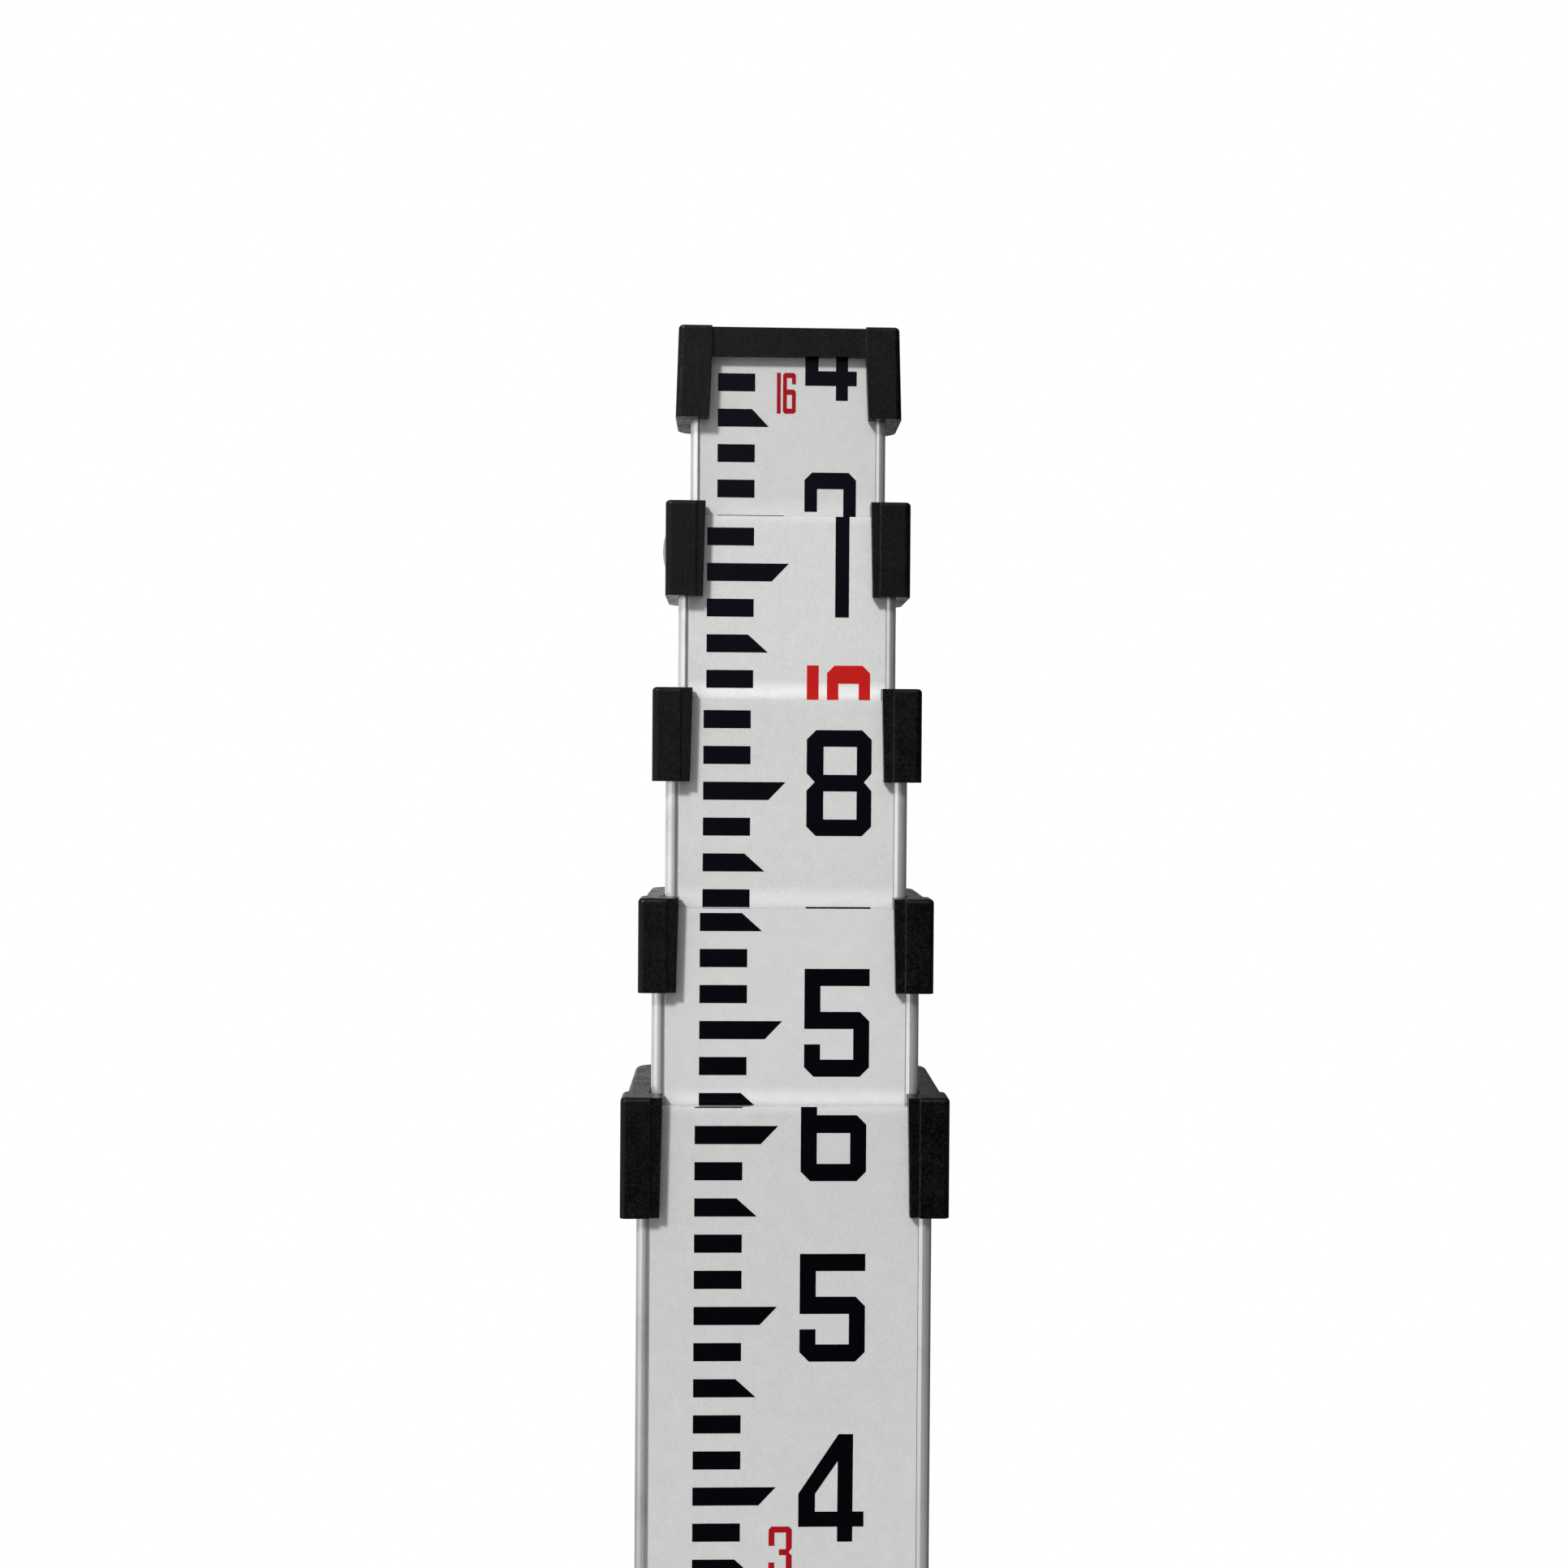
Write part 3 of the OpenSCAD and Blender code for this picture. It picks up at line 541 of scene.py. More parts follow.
def build_edge_wear(name):
    """Mask of the outer edges: where a rounded normal leaves the true one, broken up by noise."""
    tree, given, out = new_group(
        name, {"Width": 0.0003, "Amount": 1.0, "Patches per metre": 900.0},
        {"Mask": "NodeSocketFloat", "Normal": "NodeSocketVector"})
    rounded = add(tree, "ShaderNodeBevel", {"Radius": given["Width"]}, samples=4).outputs[0]
    true = add(tree, "ShaderNodeNewGeometry").outputs["True Normal"]
    alike = add(tree, "ShaderNodeVectorMath", {0: rounded, 1: true}, operation="DOT_PRODUCT")
    away = carry(tree, alike.outputs["Value"], ends=(0.99, 0.8))
    noise = stretched_noise(tree, (1, 1, 1), given["Patches per metre"], 3.0)
    some = times(tree, away, carry(tree, noise, ends=(0.35, 0.65)))
    tree.links.new(times(tree, some, given["Amount"], clamp=True), out["Mask"])
    tree.links.new(rounded, out["Normal"])
    return tree


GROUPS = {"draw_lines": build_draw_lines, "grain": build_grain, "blotches": build_blotches,
          "edge_wear": build_edge_wear}


def effect(tree, name, **inputs):
    """Places a shared effect in a material, built the first time it is asked for. Returns its outputs."""
    shared = bpy.data.node_groups.get(name) or GROUPS[name](name)
    made = add(tree, "ShaderNodeGroup", node_tree=shared)
    for key, value in inputs.items():
        made.inputs[key.replace("_", " ")].default_value = value
    return made.outputs


def new_material(name, **constants):
    """A material with a Principled shader whose plain values are set. Returns (material, tree, shader)."""
    material = bpy.data.materials.new(name)
    material.use_nodes = True
    tree = material.node_tree
    shader = tree.nodes["Principled BSDF"]
    for key, value in constants.items():
        shader.inputs[key.replace("_", " ")].default_value = value
    return material, tree, shader


def shade(rgb, factor=1.0):
    """A colour times a factor, with alpha, held under 1."""
    return tuple(min(channel * factor, 1.0) for channel in rgb) + (1.0,)


def layers(tree, base, *over):
    """Lays colours over a base by their masks: over holds pairs of mask and colour. Returns the socket."""
    for mask, paint in over:
        base = add(tree, "ShaderNodeMix", {0: mask, 6: base, 7: paint}, data_type="RGBA").outputs[2]
    return base


def blend(tree, factor, low, high):
    """Goes from low to high with the factor. Returns the socket."""
    return add(tree, "ShaderNodeMix", {0: factor, 2: low, 3: high}).outputs[0]


def finish_with(tree, shader, base, roughness, relief, strength, distance, normal=None):
    """Joins colour, roughness and relief to the shader, over a rounded normal if one is given."""
    tree.links.new(base, shader.inputs["Base Color"])
    tree.links.new(roughness, shader.inputs["Roughness"])
    inputs = {"Height": relief, "Strength": strength, "Distance": distance}
    if normal is not None:
        inputs["Normal"] = normal
    tree.links.new(add(tree, "ShaderNodeBump", inputs).outputs[0], shader.inputs["Normal"])


# Finishes

# Black plastic on the tops of its grain, and at chips and worn edges, whose lighter colour there is partly a
# painted highlight
PEBBLED = (0.003, 0.0034, 0.0046)
RUBBED_AND_HIGHLIGHT = (0.055, 0.057, 0.062)


def aluminium_finish(name, rgb, pitting):
    """Satin extruded aluminium: die lines along Z, dull patches, small pits and bright edges."""
    material, tree, shader = new_material(name, Metallic=0.72)
    lines = effect(tree, "draw_lines", Lines_per_metre=2600.0)[0]
    dull = effect(tree, "blotches", Patches_per_metre=90.0, Level=0.5, Softness=0.25)[0]
    pits = effect(tree, "blotches", Patches_per_metre=3300.0, Level=0.7 - pitting, Softness=0.09)[0]
    wear = effect(tree, "edge_wear", Width=0.2 * MM, Amount=0.9, Patches_per_metre=1500.0)
    base = layers(tree, shade(rgb, 0.72), (lines, shade(rgb, 1.22)), (dull, shade(rgb, 0.8)),
                  (wear["Mask"], shade(rgb, 1.5)), (pits, shade(rgb, 0.55)))
    finish_with(tree, shader, base, carry(tree, lines, 0.18, 0.34), reckon(tree, "SUBTRACT", lines, pits),
                strength=0.25, distance=0.02 * MM, normal=wear["Normal"])
    return material


def enamel_finish(name, rgb):
    """Baked white enamel: a faint orange peel, slight clouds, specks of dust, and bands of painted light.

    The attribute panel_band holds the middle height and gain of the painted light band above the joint
    and the panel's tone, which is partly painted shade, and panel_top the panel's top and the gain of the
    painted highlight there. The band is the square of 1 - ((z - middle) / 2 mm) squared, and the painted
    highlight at the top fades out 1.5 mm below it.
    """
    material, tree, shader = new_material(name, Specular_IOR_Level=0.3)
    clouds = effect(tree, "blotches", Patches_per_metre=35.0, Level=0.35, Softness=0.4)[0]
    specks = effect(tree, "blotches", Patches_per_metre=1900.0, Level=0.72, Softness=0.05)[0]
    peel = effect(tree, "grain", Grains_per_metre=3200.0)[0]
    base = layers(tree, shade(rgb, 1.185), (clouds, shade(rgb, 1.215)), (peel, shade(rgb, 0.8)),
                  (specks, shade(rgb, 0.8)))
    height = add(tree, "ShaderNodeSeparateXYZ", {0: object_place(tree)}).outputs["Z"]
    given = add(tree, "ShaderNodeAttribute", attribute_name="panel_band").outputs["Vector"]
    middle, gain, tone = add(tree, "ShaderNodeSeparateXYZ", {0: given}).outputs
    given = add(tree, "ShaderNodeAttribute", attribute_name="panel_top").outputs["Vector"]
    top, top_gain, _ = add(tree, "ShaderNodeSeparateXYZ", {0: given}).outputs
    # painted light: a paler band just above the joint, over the panel's tone, which is partly painted shade
    away = reckon(tree, "DIVIDE", reckon(tree, "SUBTRACT", height, middle), 2.0 * MM)
    band = reckon(tree, "SUBTRACT", 1.0, times(tree, away, away), clamp=True)
    factor = reckon(tree, "MULTIPLY_ADD", times(tree, band, band), gain, tone)
    # painted highlight along the panel's top edge, fading out below it
    lip = carry(tree, reckon(tree, "SUBTRACT", top, height), ends=(1.5 * MM, 0.0))
    factor = reckon(tree, "MULTIPLY_ADD", lip, top_gain, factor)
    base = add(tree, "ShaderNodeVectorMath", {0: base, "Scale": factor}, operation="SCALE").outputs["Vector"]
    finish_with(tree, shader, base, carry(tree, clouds, 0.42, 0.5), peel, strength=0.12, distance=0.02 * MM)
    return material


def ink_finish(name, rgb, lighter):
    """Screen-printed ink: even, with a fine tooth and pinholes that are a little lighter."""
    material, tree, shader = new_material(
        name, Specular_IOR_Level=0.13, Specular_Tint=(0.6, 0.68, 1, 1))
    tooth = effect(tree, "grain", Grains_per_metre=4200.0)[0]
    holes = effect(tree, "blotches", Patches_per_metre=2600.0, Level=0.7, Softness=0.06)[0]
    base = layers(tree, shade(rgb, 0.85), (tooth, shade(rgb, 1.15)), (holes, shade(rgb, lighter)))
    finish_with(tree, shader, base, carry(tree, tooth, 0.2, 0.4), tooth, strength=0.25, distance=0.02 * MM)
    return material


def moulding_finish(name, rgb, grains, roughness, shine, rubbed):
    """Moulded plastic or rubber: grain and faint ripples along Z, dust, and lighter edges: partly wear,
    partly a painted highlight.
    """
    material, tree, shader = new_material(name, Specular_IOR_Level=shine)
    grain = effect(tree, "grain", Grains_per_metre=grains)[0]
    dust = effect(tree, "blotches", Patches_per_metre=160.0, Level=0.5, Softness=0.3)[0]
    specks = effect(tree, "blotches", Patches_per_metre=1500.0, Level=0.72, Softness=0.04)[0]
    streaks = stretched_noise(tree, (1, 1, 0.03), 1300.0, 2.0)
    wear = effect(tree, "edge_wear", Width=0.25 * MM, Amount=rubbed, Patches_per_metre=1100.0)
    pebbles = carry(tree, grain, ends=(0.42, 0.66))
    ripples = carry(tree, streaks, 0.0, 0.6, (0.5, 0.72))
    # the edges' lighter colour is partly wear and partly a painted highlight on the rounded edges
    base = layers(tree, shade(rgb, 0.3), (pebbles, shade(PEBBLED)), (ripples, shade(PEBBLED)),
                  (dust, shade(PEBBLED, 0.5)), (wear["Mask"], shade(RUBBED_AND_HIGHLIGHT)), (specks, shade(RUBBED_AND_HIGHLIGHT)))
    smooth, rough = roughness - 0.12, roughness + 0.14
    gloss = blend(tree, wear["Mask"], carry(tree, pebbles, smooth, rough), smooth)
    relief = reckon(tree, "MULTIPLY_ADD", streaks, 0.6, grain)
    finish_with(tree, shader, base, gloss, relief, strength=0.6, distance=0.05 * MM, normal=wear["Normal"])
    return material


def steel_finish(name, rgb, stretch, roughness, metallic=1.0):
    """Ground or turned steel: fine lines along one axis, with worn edges and a few stains."""
    material, tree, shader = new_material(name, Metallic=metallic)
    lines = stretched_noise(tree, stretch, 2200.0, 3.0)
    stains = effect(tree, "blotches", Patches_per_metre=260.0, Level=0.55, Softness=0.2)[0]
    wear = effect(tree, "edge_wear", Width=0.2 * MM, Amount=0.7, Patches_per_metre=900.0)
    base = layers(tree, shade(rgb, 0.75), (lines, shade(rgb, 1.2)), (stains, shade(rgb, 0.6)),
                  (wear["Mask"], shade(rgb, 1.4)))
    finish_with(tree, shader, base, carry(tree, lines, roughness - 0.06, roughness + 0.08), lines,
                strength=0.2, distance=0.01 * MM, normal=wear["Normal"])
    return material


def made_material(name, build, *given, **settings):
    """The material of that name: the one that is there already, or else built.

    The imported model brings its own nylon, fastener_steel and spring_steel, so those three stay as they are
    and the finishes that are given for them aren't built.
    """
    return bpy.data.materials.get(name) or build(name, *given, **settings)


def dress(nodes, name, build, rgb, **settings):
    """Gives CAD nodes the material of that name."""
    material = made_material(name, build, rgb, **settings)
    for node in nodes:
        if node not in frame["nodes"]:
            raise RuntimeError(f"the packed model has no node {node}")
        slots = frame["nodes"][node].data.materials
        slots.clear()
        slots.append(material)


# Operators

class STAFF_OT_enamel(bpy.types.Operator):
    """Coat the front and back panels of every section with white enamel"""
    bl_idname = "staff.enamel"
    bl_label = "Enamel Panels"

    def execute(self, context):
        sizes, finish = context.scene.staff_print, context.scene.staff_finish
        material = made_material("white_enamel", enamel_finish, finish.enamel)
        for n in SECTIONS:
            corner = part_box(f"tube_{n}")[1]
            half = corner.x - sizes.rim[n - 1]
            low, high = print_range(n)
            outline = np.array([window(-half, low, half, high)])
            panel, face, _ = panel_depths(n, sizes)
            back = corner.y - sizes.rim_rise
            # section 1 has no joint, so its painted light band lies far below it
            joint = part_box(f"tube_{n - 1}")[1].z if n > 1 else -1.0
            given = {"panel_band": (joint + finish.joint_rise[n - 1], finish.joint_gain[n - 1],
                                    finish.panel_tone[n - 1]),
                     "panel_top": (high, finish.top_gain[n - 1], 0.0)}
            depths = {"front": (panel + sizes.enamel, face),
                      "back": (back + sizes.enamel, back - sizes.enamel)}
            for side, (inner, outer) in depths.items():
                piece = new_piece(f"{side}_panel", n, prism(outline, inner, outer), material)
                for key, value in given.items():
                    values = np.tile(value, len(piece.data.vertices))
                    piece.data.attributes.new(key, "FLOAT_VECTOR", "POINT").data.foreach_set("vector", values)
        return {"FINISHED"}


class STAFF_OT_bars(bpy.types.Operator):
    """Print the bars of a hundredth of a foot, with longer marks at each tenth and half tenth"""
    bl_idname = "staff.bars"
    bl_label = "Hundredth Bars"

    def execute(self, context):
        sizes, finish = context.scene.staff_print, context.scene.staff_finish
        material = made_material("black_ink", ink_finish, finish.black_ink, lighter=BLACK_PINHOLES)
        for n in SECTIONS:
            i, low, high, back, face = print_place(n, sizes)
            odd = marks(low, high, n, HUNDREDTH)
            odd = odd[odd % 2 == 1]
            foot = odd * HUNDREDTH - reading_shift(n)
            left, plain = sizes.bar_left[i], sizes.bar_length[i]
            # a bar from .05 is the half mark, and one up to .10 is the tenth mark
            is_half, is_tenth = odd % 10 == 5, odd % 10 == 9
            at_foot = np.select([is_half, is_tenth], [sizes.half_foot[i], sizes.tenth_foot[i]], plain)
            at_top = np.select([is_half, is_tenth], [sizes.half_top[i], sizes.tenth_top[i]], plain)
            bottom = np.clip(foot - sizes.spread, low, high)
            top = np.clip(foot + HUNDREDTH + sizes.spread, low, high)
            share_low, share_high = (bottom - foot) / HUNDREDTH, (top - foot) / HUNDREDTH
            outline = np.stack([
                np.stack([np.full(len(odd), left), bottom], 1),
                np.stack([left + at_foot + (at_top - at_foot) * share_low, bottom], 1),
                np.stack([left + at_foot + (at_top - at_foot) * share_high, top], 1),
                np.stack([np.full(len(odd), left), top], 1)], 1)
            outline = outline[top - bottom > THINNEST_BAR]
            new_piece("bars", n, prism(outline, back, face), material)
        return {"FINISHED"}


class STAFF_OT_tenths(bpy.types.Operator):
    """Print the black figures at each tenth of a foot"""
    bl_idname = "staff.tenths"
    bl_label = "Tenth Figures"

    def execute(self, context):
        sizes, finish = context.scene.staff_print, context.scene.staff_finish
        material = made_material("black_ink", ink_finish, finish.black_ink, lighter=BLACK_PINHOLES)
        for n in SECTIONS:
            i, low, high, back, face = print_place(n, sizes)
            left, wide, tall = sizes.figure_left[i], sizes.figure_width[i], sizes.figure_height[i]
            stroke = (wide * TENTH_UPRIGHT, sizes.figure_level[i], wide * TENTH_CORNER)
            one = wide * TENTH_ONE
            parts = []
            for tenth in marks(low, high, n, TENTH):
                foot = tenth * TENTH - reading_shift(n) - sizes.figure_drop[i] - tall / 2
                if tenth % 10 == 0 or tenth < 0 or foot > high or foot + tall < low:
                    continue
                digit = int(tenth % 10)
                start, width = (left + TENTH_ONE_MIDDLE * wide - one / 2, one) if digit == 1 else (left, wide)
                rise = sizes.seven_rise if digit == 7 else 0
                parts.append(figure(digit, start, foot, width, tall + rise, stroke, back, face))
            cut_to(new_piece("tenth_figures", n, join(parts), material), low, high)
        return {"FINISHED"}


class STAFF_OT_feet(bpy.types.Operator):
    """Print the red figures at each foot, and the small ones below each four tenths"""
    bl_idname = "staff.feet"
    bl_label = "Foot Figures"

    def execute(self, context):
        sizes, finish = context.scene.staff_print, context.scene.staff_finish
        red = made_material("red_ink", ink_finish, finish.red_ink, lighter=RED_PINHOLES)
        small_red = made_material("small_red_ink", ink_finish, finish.small_red, lighter=RED_PINHOLES)
        tall = sizes.foot_height
        for n in SECTIONS:
            i, low, high, back, face = print_place(n, sizes)
            left, scale = sizes.figure_left[i], sizes.figure_width[i] / FULL_WIDTH
            small_tall, small_drop, small_left, small_wide = SMALL_CELLS[n]
            shift, large, small = reading_shift(n), [], []
            for foot in marks(low, high, n, FOOT):
                if foot < 1:
                    continue
                text = str(foot)
                alone = len(text) == 1
                start = foot * FOOT - shift - sizes.figure_drop[i] - tall / 2
                if start < high and start + tall > low:
                    cells = number_cells(text, left, *(size * scale for size in FOOT_CELLS))
                    if text == "1":
                        cells = [(1, left + LONE_FOOT_ONE[0], LONE_FOOT_ONE[1])]
                    stroke = LONE_FOOT_STROKE if alone else (FOOT_STROKE[0] * scale, *FOOT_STROKE[1:])
                    large += figures_in(cells, start, tall, stroke, back, face)
                # the small figure's top lies a little below the mark of four tenths
                start = (foot + SMALL_AT) * FOOT - shift - small_drop - small_tall
                if start > low and start + small_tall < high:
                    cells = number_cells(text, small_left, small_wide, small_wide * SMALL_ONE,
                                         small_wide * SMALL_GAP)
                    if text == "1":
                        cells = [(1, small_left + LONE_SMALL_ONE[0], LONE_SMALL_ONE[1])]
                    elif alone:
                        cells = [(int(text), small_left, LONE_SMALL_WIDTH)]
                    stroke = LONE_SMALL_STROKE if alone else SMALL_STROKE
                    small += figures_in(cells, start, small_tall, stroke, back, face)
            cut_to(new_piece("foot_figures", n, join(large), red), low, high)
            if small:
                new_piece("small_foot_figures", n, join(small), small_red)
        return {"FINISHED"}


class STAFF_OT_tubes(bpy.types.Operator):
    """Finish the extruded sections"""
    bl_idname = "staff.tubes"
    bl_label = "Extruded Sections"

    def execute(self, context):
        rgb = context.scene.staff_finish.aluminium
        dress(["tube_1", "tube_4", "tube_5"], "satin_aluminium", aluminium_finish, rgb, pitting=0.0)
        dress(["tube_2", "tube_3"], "pitted_aluminium", aluminium_finish, rgb, pitting=0.1)
        return {"FINISHED"}


class STAFF_OT_mouldings(bpy.types.Operator):
    """Finish the collars, the cap, the shoe, the guides and the buffer"""
    bl_idname = "staff.mouldings"
    bl_label = "Mouldings"

    def execute(self, context):
        rgb = context.scene.staff_finish.moulding
        dress([f"collar_{n}" for n in LOWER] + ["top_cap", "foot_shoe"], "black_moulding", moulding_finish,
              rgb, grains=2100.0, roughness=0.32, shine=0.16, rubbed=0.9)
        dress([f"guide_{n}" for n in UPPER], "nylon", moulding_finish,
              (0.03, 0.03, 0.032), grains=2200.0, roughness=0.42, shine=0.4, rubbed=0.3)
        dress(["foot_buffer"], "buffer_rubber", moulding_finish,
              (0.02, 0.02, 0.02), grains=1500.0, roughness=0.75, shine=0.15, rubbed=0.2)
        return {"FINISHED"}


class STAFF_OT_springs(bpy.types.Operator):
    """Make the springs behind the lock pins and the button"""
    bl_idname = "staff.springs"
    bl_label = "Springs"

    def execute(self, context):
        material = made_material("spring_steel", steel_finish, (0.4, 0.4, 0.41),
                                 stretch=(1, 1, 0.3), roughness=0.28)
        sprung = [j for j in frame["joints"] if j.get("deforming_nodes")]
        if not sprung:
            raise RuntimeError("the packed model has no sprung joint")
        for joint in sprung:
            for given in joint["deforming_nodes"]:
                name, fixed = given["node"], given["fixed_end_x_m"]
                mesh = frame["nodes"][name].data.copy()
                mesh.name = f"sprung_{name}"
                merge_doubles(mesh)
                mesh.materials.clear()
                mesh.materials.append(material)
                spring = new_object(mesh.name, mesh)
                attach(spring, joint["parent"])
                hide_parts(name)
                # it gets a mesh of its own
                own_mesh(spring)
        return {"FINISHED"}


class STAFF_OT_hardware(bpy.types.Operator):
    """Finish the foot plate, screws, rivets, pins and button"""
    bl_idname = "staff.hardware"
    bl_label = "Hardware"

    def execute(self, context):
        dress(["foot_plate"], "ground_plate", steel_finish,
              (0.42, 0.42, 0.43), stretch=(0.05, 1, 1), roughness=0.36)
        rivets = [f"collar_rivets_{n}" for n in LOWER] + [f"guide_rivets_{n}" for n in UPPER]
        dress(rivets + ["cap_rivets", "shoe_rivets", "foot_screws"], "fastener_steel", steel_finish,
              (0.5, 0.5, 0.51), stretch=(1, 1, 1), roughness=0.3)
        dress([f"lock_pin_{n}" for n in UPPER] + ["release_button"], "plated_button", steel_finish,
              (0.3, 0.3, 0.31), stretch=(1, 1, 1), roughness=0.3, metallic=0.7)
        return {"FINISHED"}


class STAFF_OT_stage(bpy.types.Operator):
    """Make the floor, the lights and the camera"""
    bl_idname = "staff.stage"
    bl_label = "Stage"

    def execute(self, context):
        stage = context.scene.staff_stage
        self.make_floor(stage)
        self.make_light(stage)
        self.make_world(context.scene, stage)
        self.make_camera(context.scene)
        context.scene.view_settings.view_transform = "Standard"
        return {"FINISHED"}

    def make_floor(self, stage):
        """A round floor: rings of points at (r cos t, r sin t, 0)."""
        rings, turns = 24, 96
        radius = np.linspace(0, 1, rings + 1)[1:, None] * stage.floor_radius
        angle = np.linspace(0, 2 * math.pi, turns, endpoint=False)[None]
        points = np.stack([radius * np.cos(angle), radius * np.sin(angle), 0 * radius * angle], -1)
        points = np.concatenate([[[0, 0, 0]], points.reshape(-1, 3)])
        j = np.arange(turns)
        after = (j + 1) % turns
        faces = np.stack([0 * j, j + 1, after + 1], 1).tolist()
        i = np.arange(rings - 1)[:, None] * turns + 1
        faces += np.stack([i + j, i + turns + j, i + turns + after, i + after], -1).reshape(-1, 4).tolist()
        mesh = bpy.data.meshes.new("floor")
        mesh.from_pydata(points.tolist(), [], faces)
        mesh.materials.append(self.floor_material(stage))
        new_object("floor", mesh)

    def floor_material(self, stage):
        """Pale floor that the camera, and reflections behind the staff, see turn white towards its rim."""
        material, tree, shader = new_material("pale_floor", Roughness=0.9, Specular_IOR_Level=0.1)
        grain = effect(tree, "grain", Grains_per_metre=300.0)[0]
        base = layers(tree, shade(stage.floor, 0.98), (grain, shade(stage.floor, 1.02)))
        tree.links.new(base, shader.inputs["Base Color"])
        place = object_place(tree)
        away = add(tree, "ShaderNodeVectorMath", {0: place}, operation="LENGTH").outputs["Value"]
        rim = carry(tree, away, ends=(FADE_FROM, stage.floor_radius * FADE_TO), kind="SMOOTHSTEP")
        path = add(tree, "ShaderNodeLightPath").outputs
        behind = add(tree, "ShaderNodeSeparateXYZ", {0: place}).outputs["Y"]
        behind = reckon(tree, "GREATER_THAN", behind, 0.0)
        seen = reckon(tree, "MULTIPLY_ADD", path["Is Glossy Ray"], behind, path["Is Camera Ray"], clamp=True)
        fade = times(tree, rim, seen)
        glow = add(tree, "ShaderNodeEmission", {"Color": (1, 1, 1, 1), "Strength": 1.0}).outputs[0]
        mix = add(tree, "ShaderNodeMixShader", {"Fac": fade, 1: shader.outputs[0], 2: glow}).outputs[0]
        tree.links.new(mix, tree.nodes["Material Output"].inputs["Surface"])
        return material

    def make_light(self, stage):
        """Main light: turned to the left of the front, and 45 degrees up as seen from the side."""
        lamp = bpy.data.lights.new("main_light", "SUN")
        lamp.energy = stage.key
        lamp.angle = stage.key_angle
        light = new_object("main_light", lamp)
        towards = Vector((-math.tan(LIGHT_SIDE), -1, 1))
        light.rotation_euler = towards.to_track_quat("Z", "Y").to_euler()

    def make_world(self, scene, stage):
        """Plain white for the camera and glass, and a studio for the rest, by the direction (x, y, z).

        Soft light is a smooth step of z - x / 2. In front, reflections see a smooth step of z - 6 x / 5 with
        a light on the left that fades low down. Behind, they see a level that falls to the right and away
        from the horizon.
        """
        world = bpy.data.worlds.new("studio")
        world.use_nodes = True
        scene.world = world
        tree = world.node_tree
        tree.nodes.clear()
        path = add(tree, "ShaderNodeLightPath").outputs
        place = add(tree, "ShaderNodeNewGeometry").outputs["Position"]
        x, y, z = add(tree, "ShaderNodeSeparateXYZ", {0: place}).outputs

        def step(value, ends, low=0.0, high=1.0):
            """Carries a value smoothly from low to high between the two ends."""
            return carry(tree, value, low, high, ends, "SMOOTHSTEP")

        def lean(share):
            """z minus a share of x."""
            return reckon(tree, "MULTIPLY_ADD", x, -share, z)

        # what matt surfaces get, and what gloss mirrors from in front
        soft = times(tree, step(lean(0.5), (-0.35, 0.75)), stage.ambient)
        front = reckon(tree, "ADD", step(lean(1.2), (-0.27, 0.4), 0.1, 1.15),
                       step(x, (-0.45, -0.75), 0.0, 0.2))
        low_down = blend(tree, step(x, (-0.1, -0.5)), 1.0, step(z, (-0.5, -0.15), 0.3, 1.0))
        front = times(tree, front, step(x, (-0.95, -0.78), 0.6, 1.0), low_down, step(y, (0.2, -0.1)))
        strength = blend(tree, path["Is Glossy Ray"], soft, front)
        # white that gloss mirrors from behind, and of which the rest gets half
        height = reckon(tree, "ABSOLUTE", z)
        behind = times(tree, step(x, (0.25, -0.15), 0.1, 0.9), step(y, (-0.1, 0.2)),
                       step(height, (0.1, 0.4), 1.0, 0.25), step(z, (0.0, -0.05), 0.9, 1.0),
                       carry(tree, path["Is Glossy Ray"], 0.5, 1.0))
        seen = reckon(tree, "ADD", path["Is Camera Ray"], path["Is Transmission Ray"], clamp=True)
        seen = reckon(tree, "MAXIMUM", seen, behind)
        soft = add(tree, "ShaderNodeBackground", {"Color": (1, 1, 1, 1), "Strength": strength}).outputs[0]
        white = add(tree, "ShaderNodeBackground", {"Color": (1, 1, 1, 1), "Strength": 1.0}).outputs[0]
        mix = add(tree, "ShaderNodeMixShader", {"Fac": seen, 1: soft, 2: white}).outputs[0]
        tree.links.new(mix, add(tree, "ShaderNodeOutputWorld").inputs["Surface"])

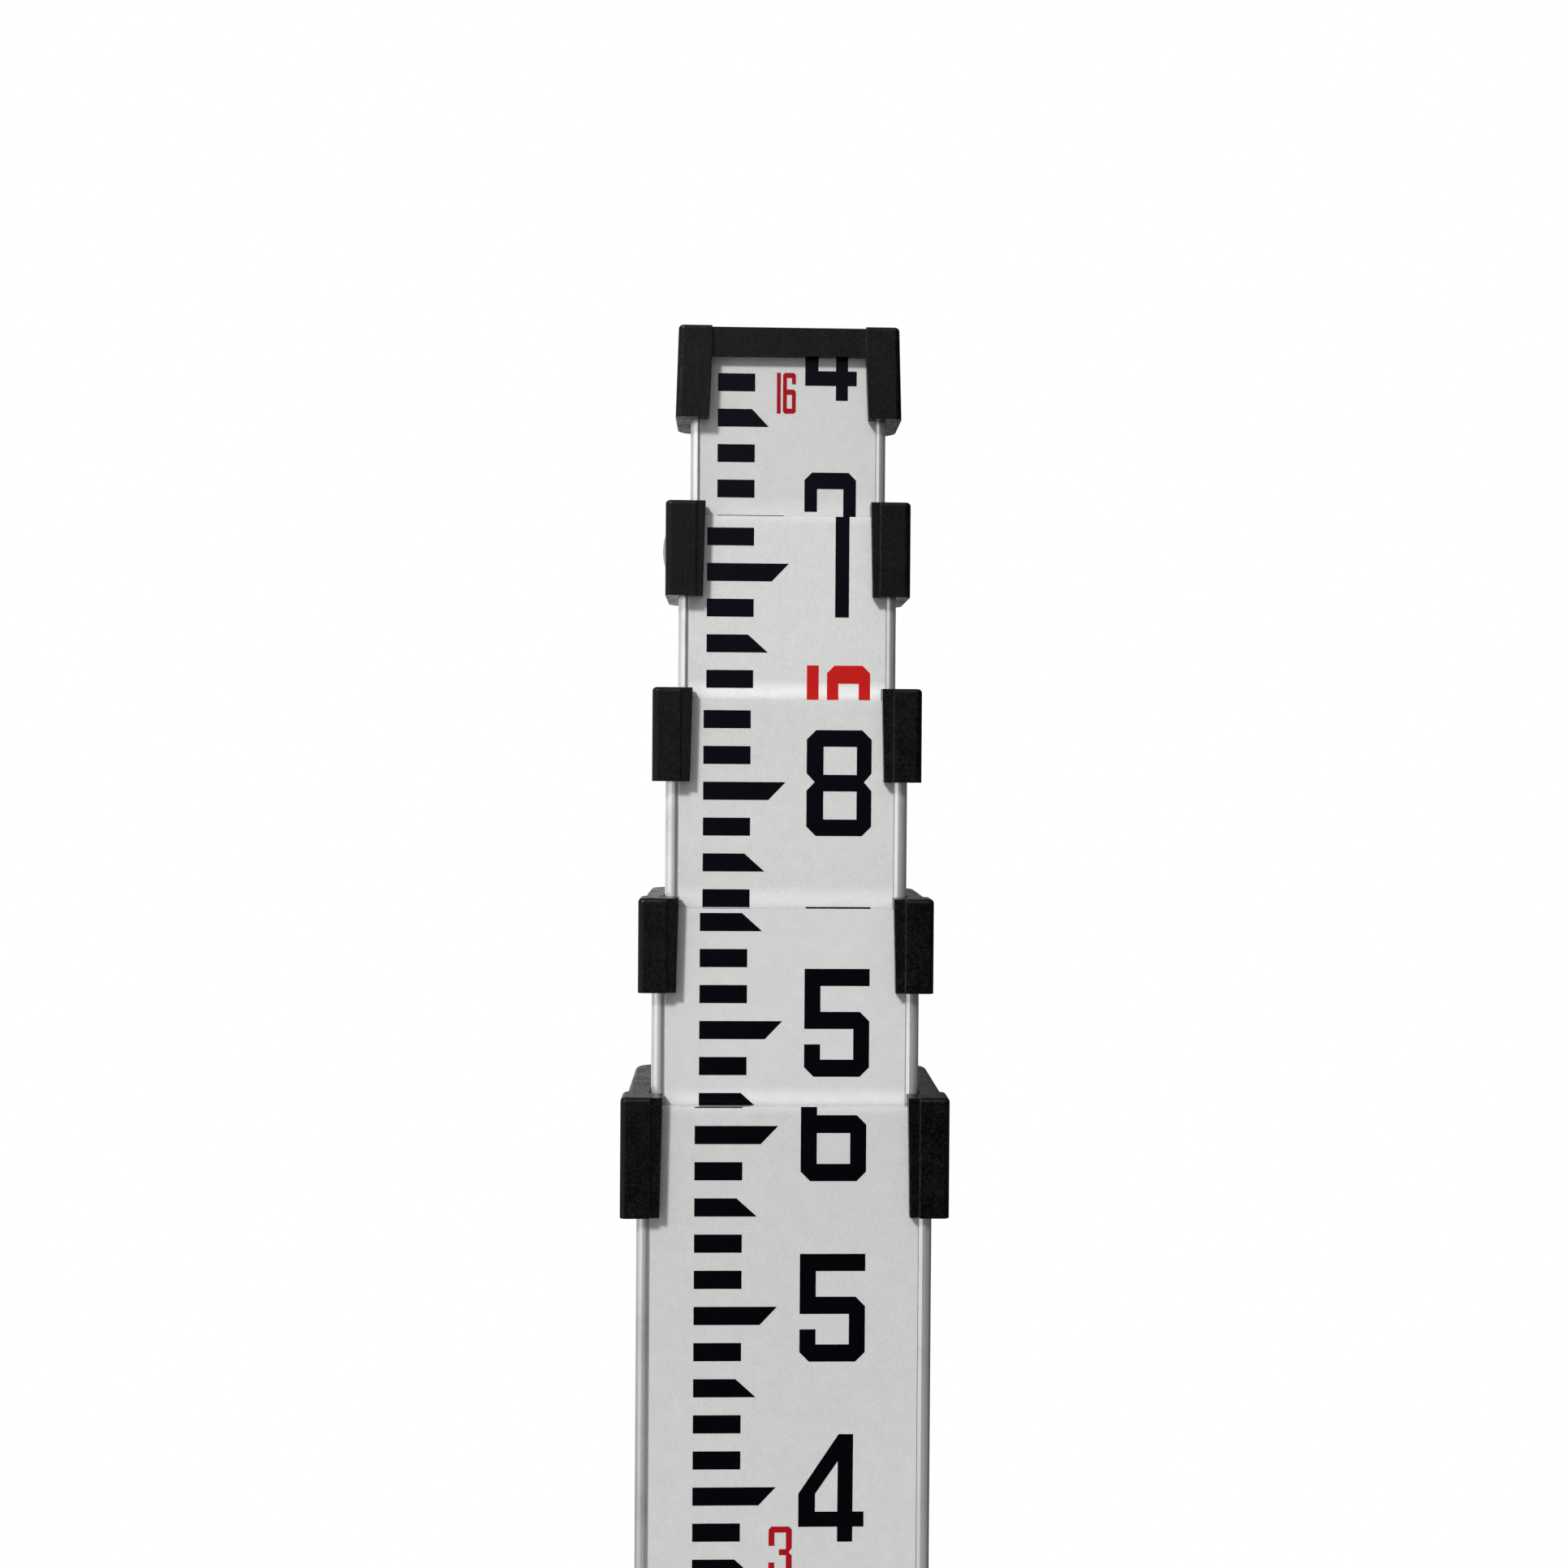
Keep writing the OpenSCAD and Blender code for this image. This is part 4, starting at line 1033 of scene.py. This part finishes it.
    def make_camera(self, scene):
        """The photograph's camera: yawed, pitched and rolled about the place where it stood."""
        sin, cos = math.sin, math.cos
        side = Vector((cos(CAMERA_YAW), sin(CAMERA_YAW), 0))
        ahead = Vector((-sin(CAMERA_YAW), cos(CAMERA_YAW), 0))
        lifted = sin(CAMERA_PITCH) * ahead + cos(CAMERA_PITCH) * Vector((0, 0, 1))
        forward = cos(CAMERA_PITCH) * ahead - sin(CAMERA_PITCH) * Vector((0, 0, 1))
        right = cos(CAMERA_ROLL) * side + sin(CAMERA_ROLL) * lifted
        up = -sin(CAMERA_ROLL) * side + cos(CAMERA_ROLL) * lifted
        lens = bpy.data.cameras.new("photo_camera")
        lens.sensor_width = SENSOR
        lens.lens = SENSOR * PHOTO_FOCAL / PHOTO_SIZE
        lens.clip_start, lens.clip_end = 0.01, 100
        camera = new_object("photo_camera", lens)
        turned = Matrix((right, up, -forward)).transposed().to_4x4()
        camera.matrix_world = Matrix.Translation(CAMERA_PLACE) @ turned
        scene.camera = camera


class STAFF_PT_panel(bpy.types.Panel):
    """Lists the sizes, the colours and the pieces of the staff"""
    bl_label = "Leveling Staff"
    bl_idname = "STAFF_PT_panel"
    bl_space_type = "VIEW_3D"
    bl_region_type = "UI"
    bl_category = "Staff"

    def draw(self, context):
        for group in (context.scene.staff_print, context.scene.staff_finish, context.scene.staff_stage):
            box = self.layout.box()
            for key in group.bl_rna.properties.keys():
                if key not in ("rna_type", "name"):
                    box.prop(group, key)
        for operator in OPERATORS:
            self.layout.operator(operator.bl_idname)


OPERATORS = (STAFF_OT_enamel, STAFF_OT_bars, STAFF_OT_tenths, STAFF_OT_feet, STAFF_OT_tubes,
             STAFF_OT_mouldings, STAFF_OT_springs, STAFF_OT_hardware, STAFF_OT_stage)
GROUP_TYPES = {"staff_print": StaffPrint, "staff_finish": StaffFinish, "staff_stage": StaffStage}


def register():
    for kind in (*GROUP_TYPES.values(), *OPERATORS, STAFF_PT_panel):
        bpy.utils.register_class(kind)
    for key, kind in GROUP_TYPES.items():
        setattr(bpy.types.Scene, key, PointerProperty(type=kind))


def unregister():
    for key in GROUP_TYPES:
        delattr(bpy.types.Scene, key)
    for kind in (STAFF_PT_panel, *reversed(OPERATORS), *GROUP_TYPES.values()):
        bpy.utils.unregister_class(kind)


def main():
    """Makes every piece and the stage."""
    register()
    for operator in OPERATORS:
        group, name = operator.bl_idname.split(".")
        getattr(getattr(bpy.ops, group), name)()


if __name__ == "__main__":
    main()
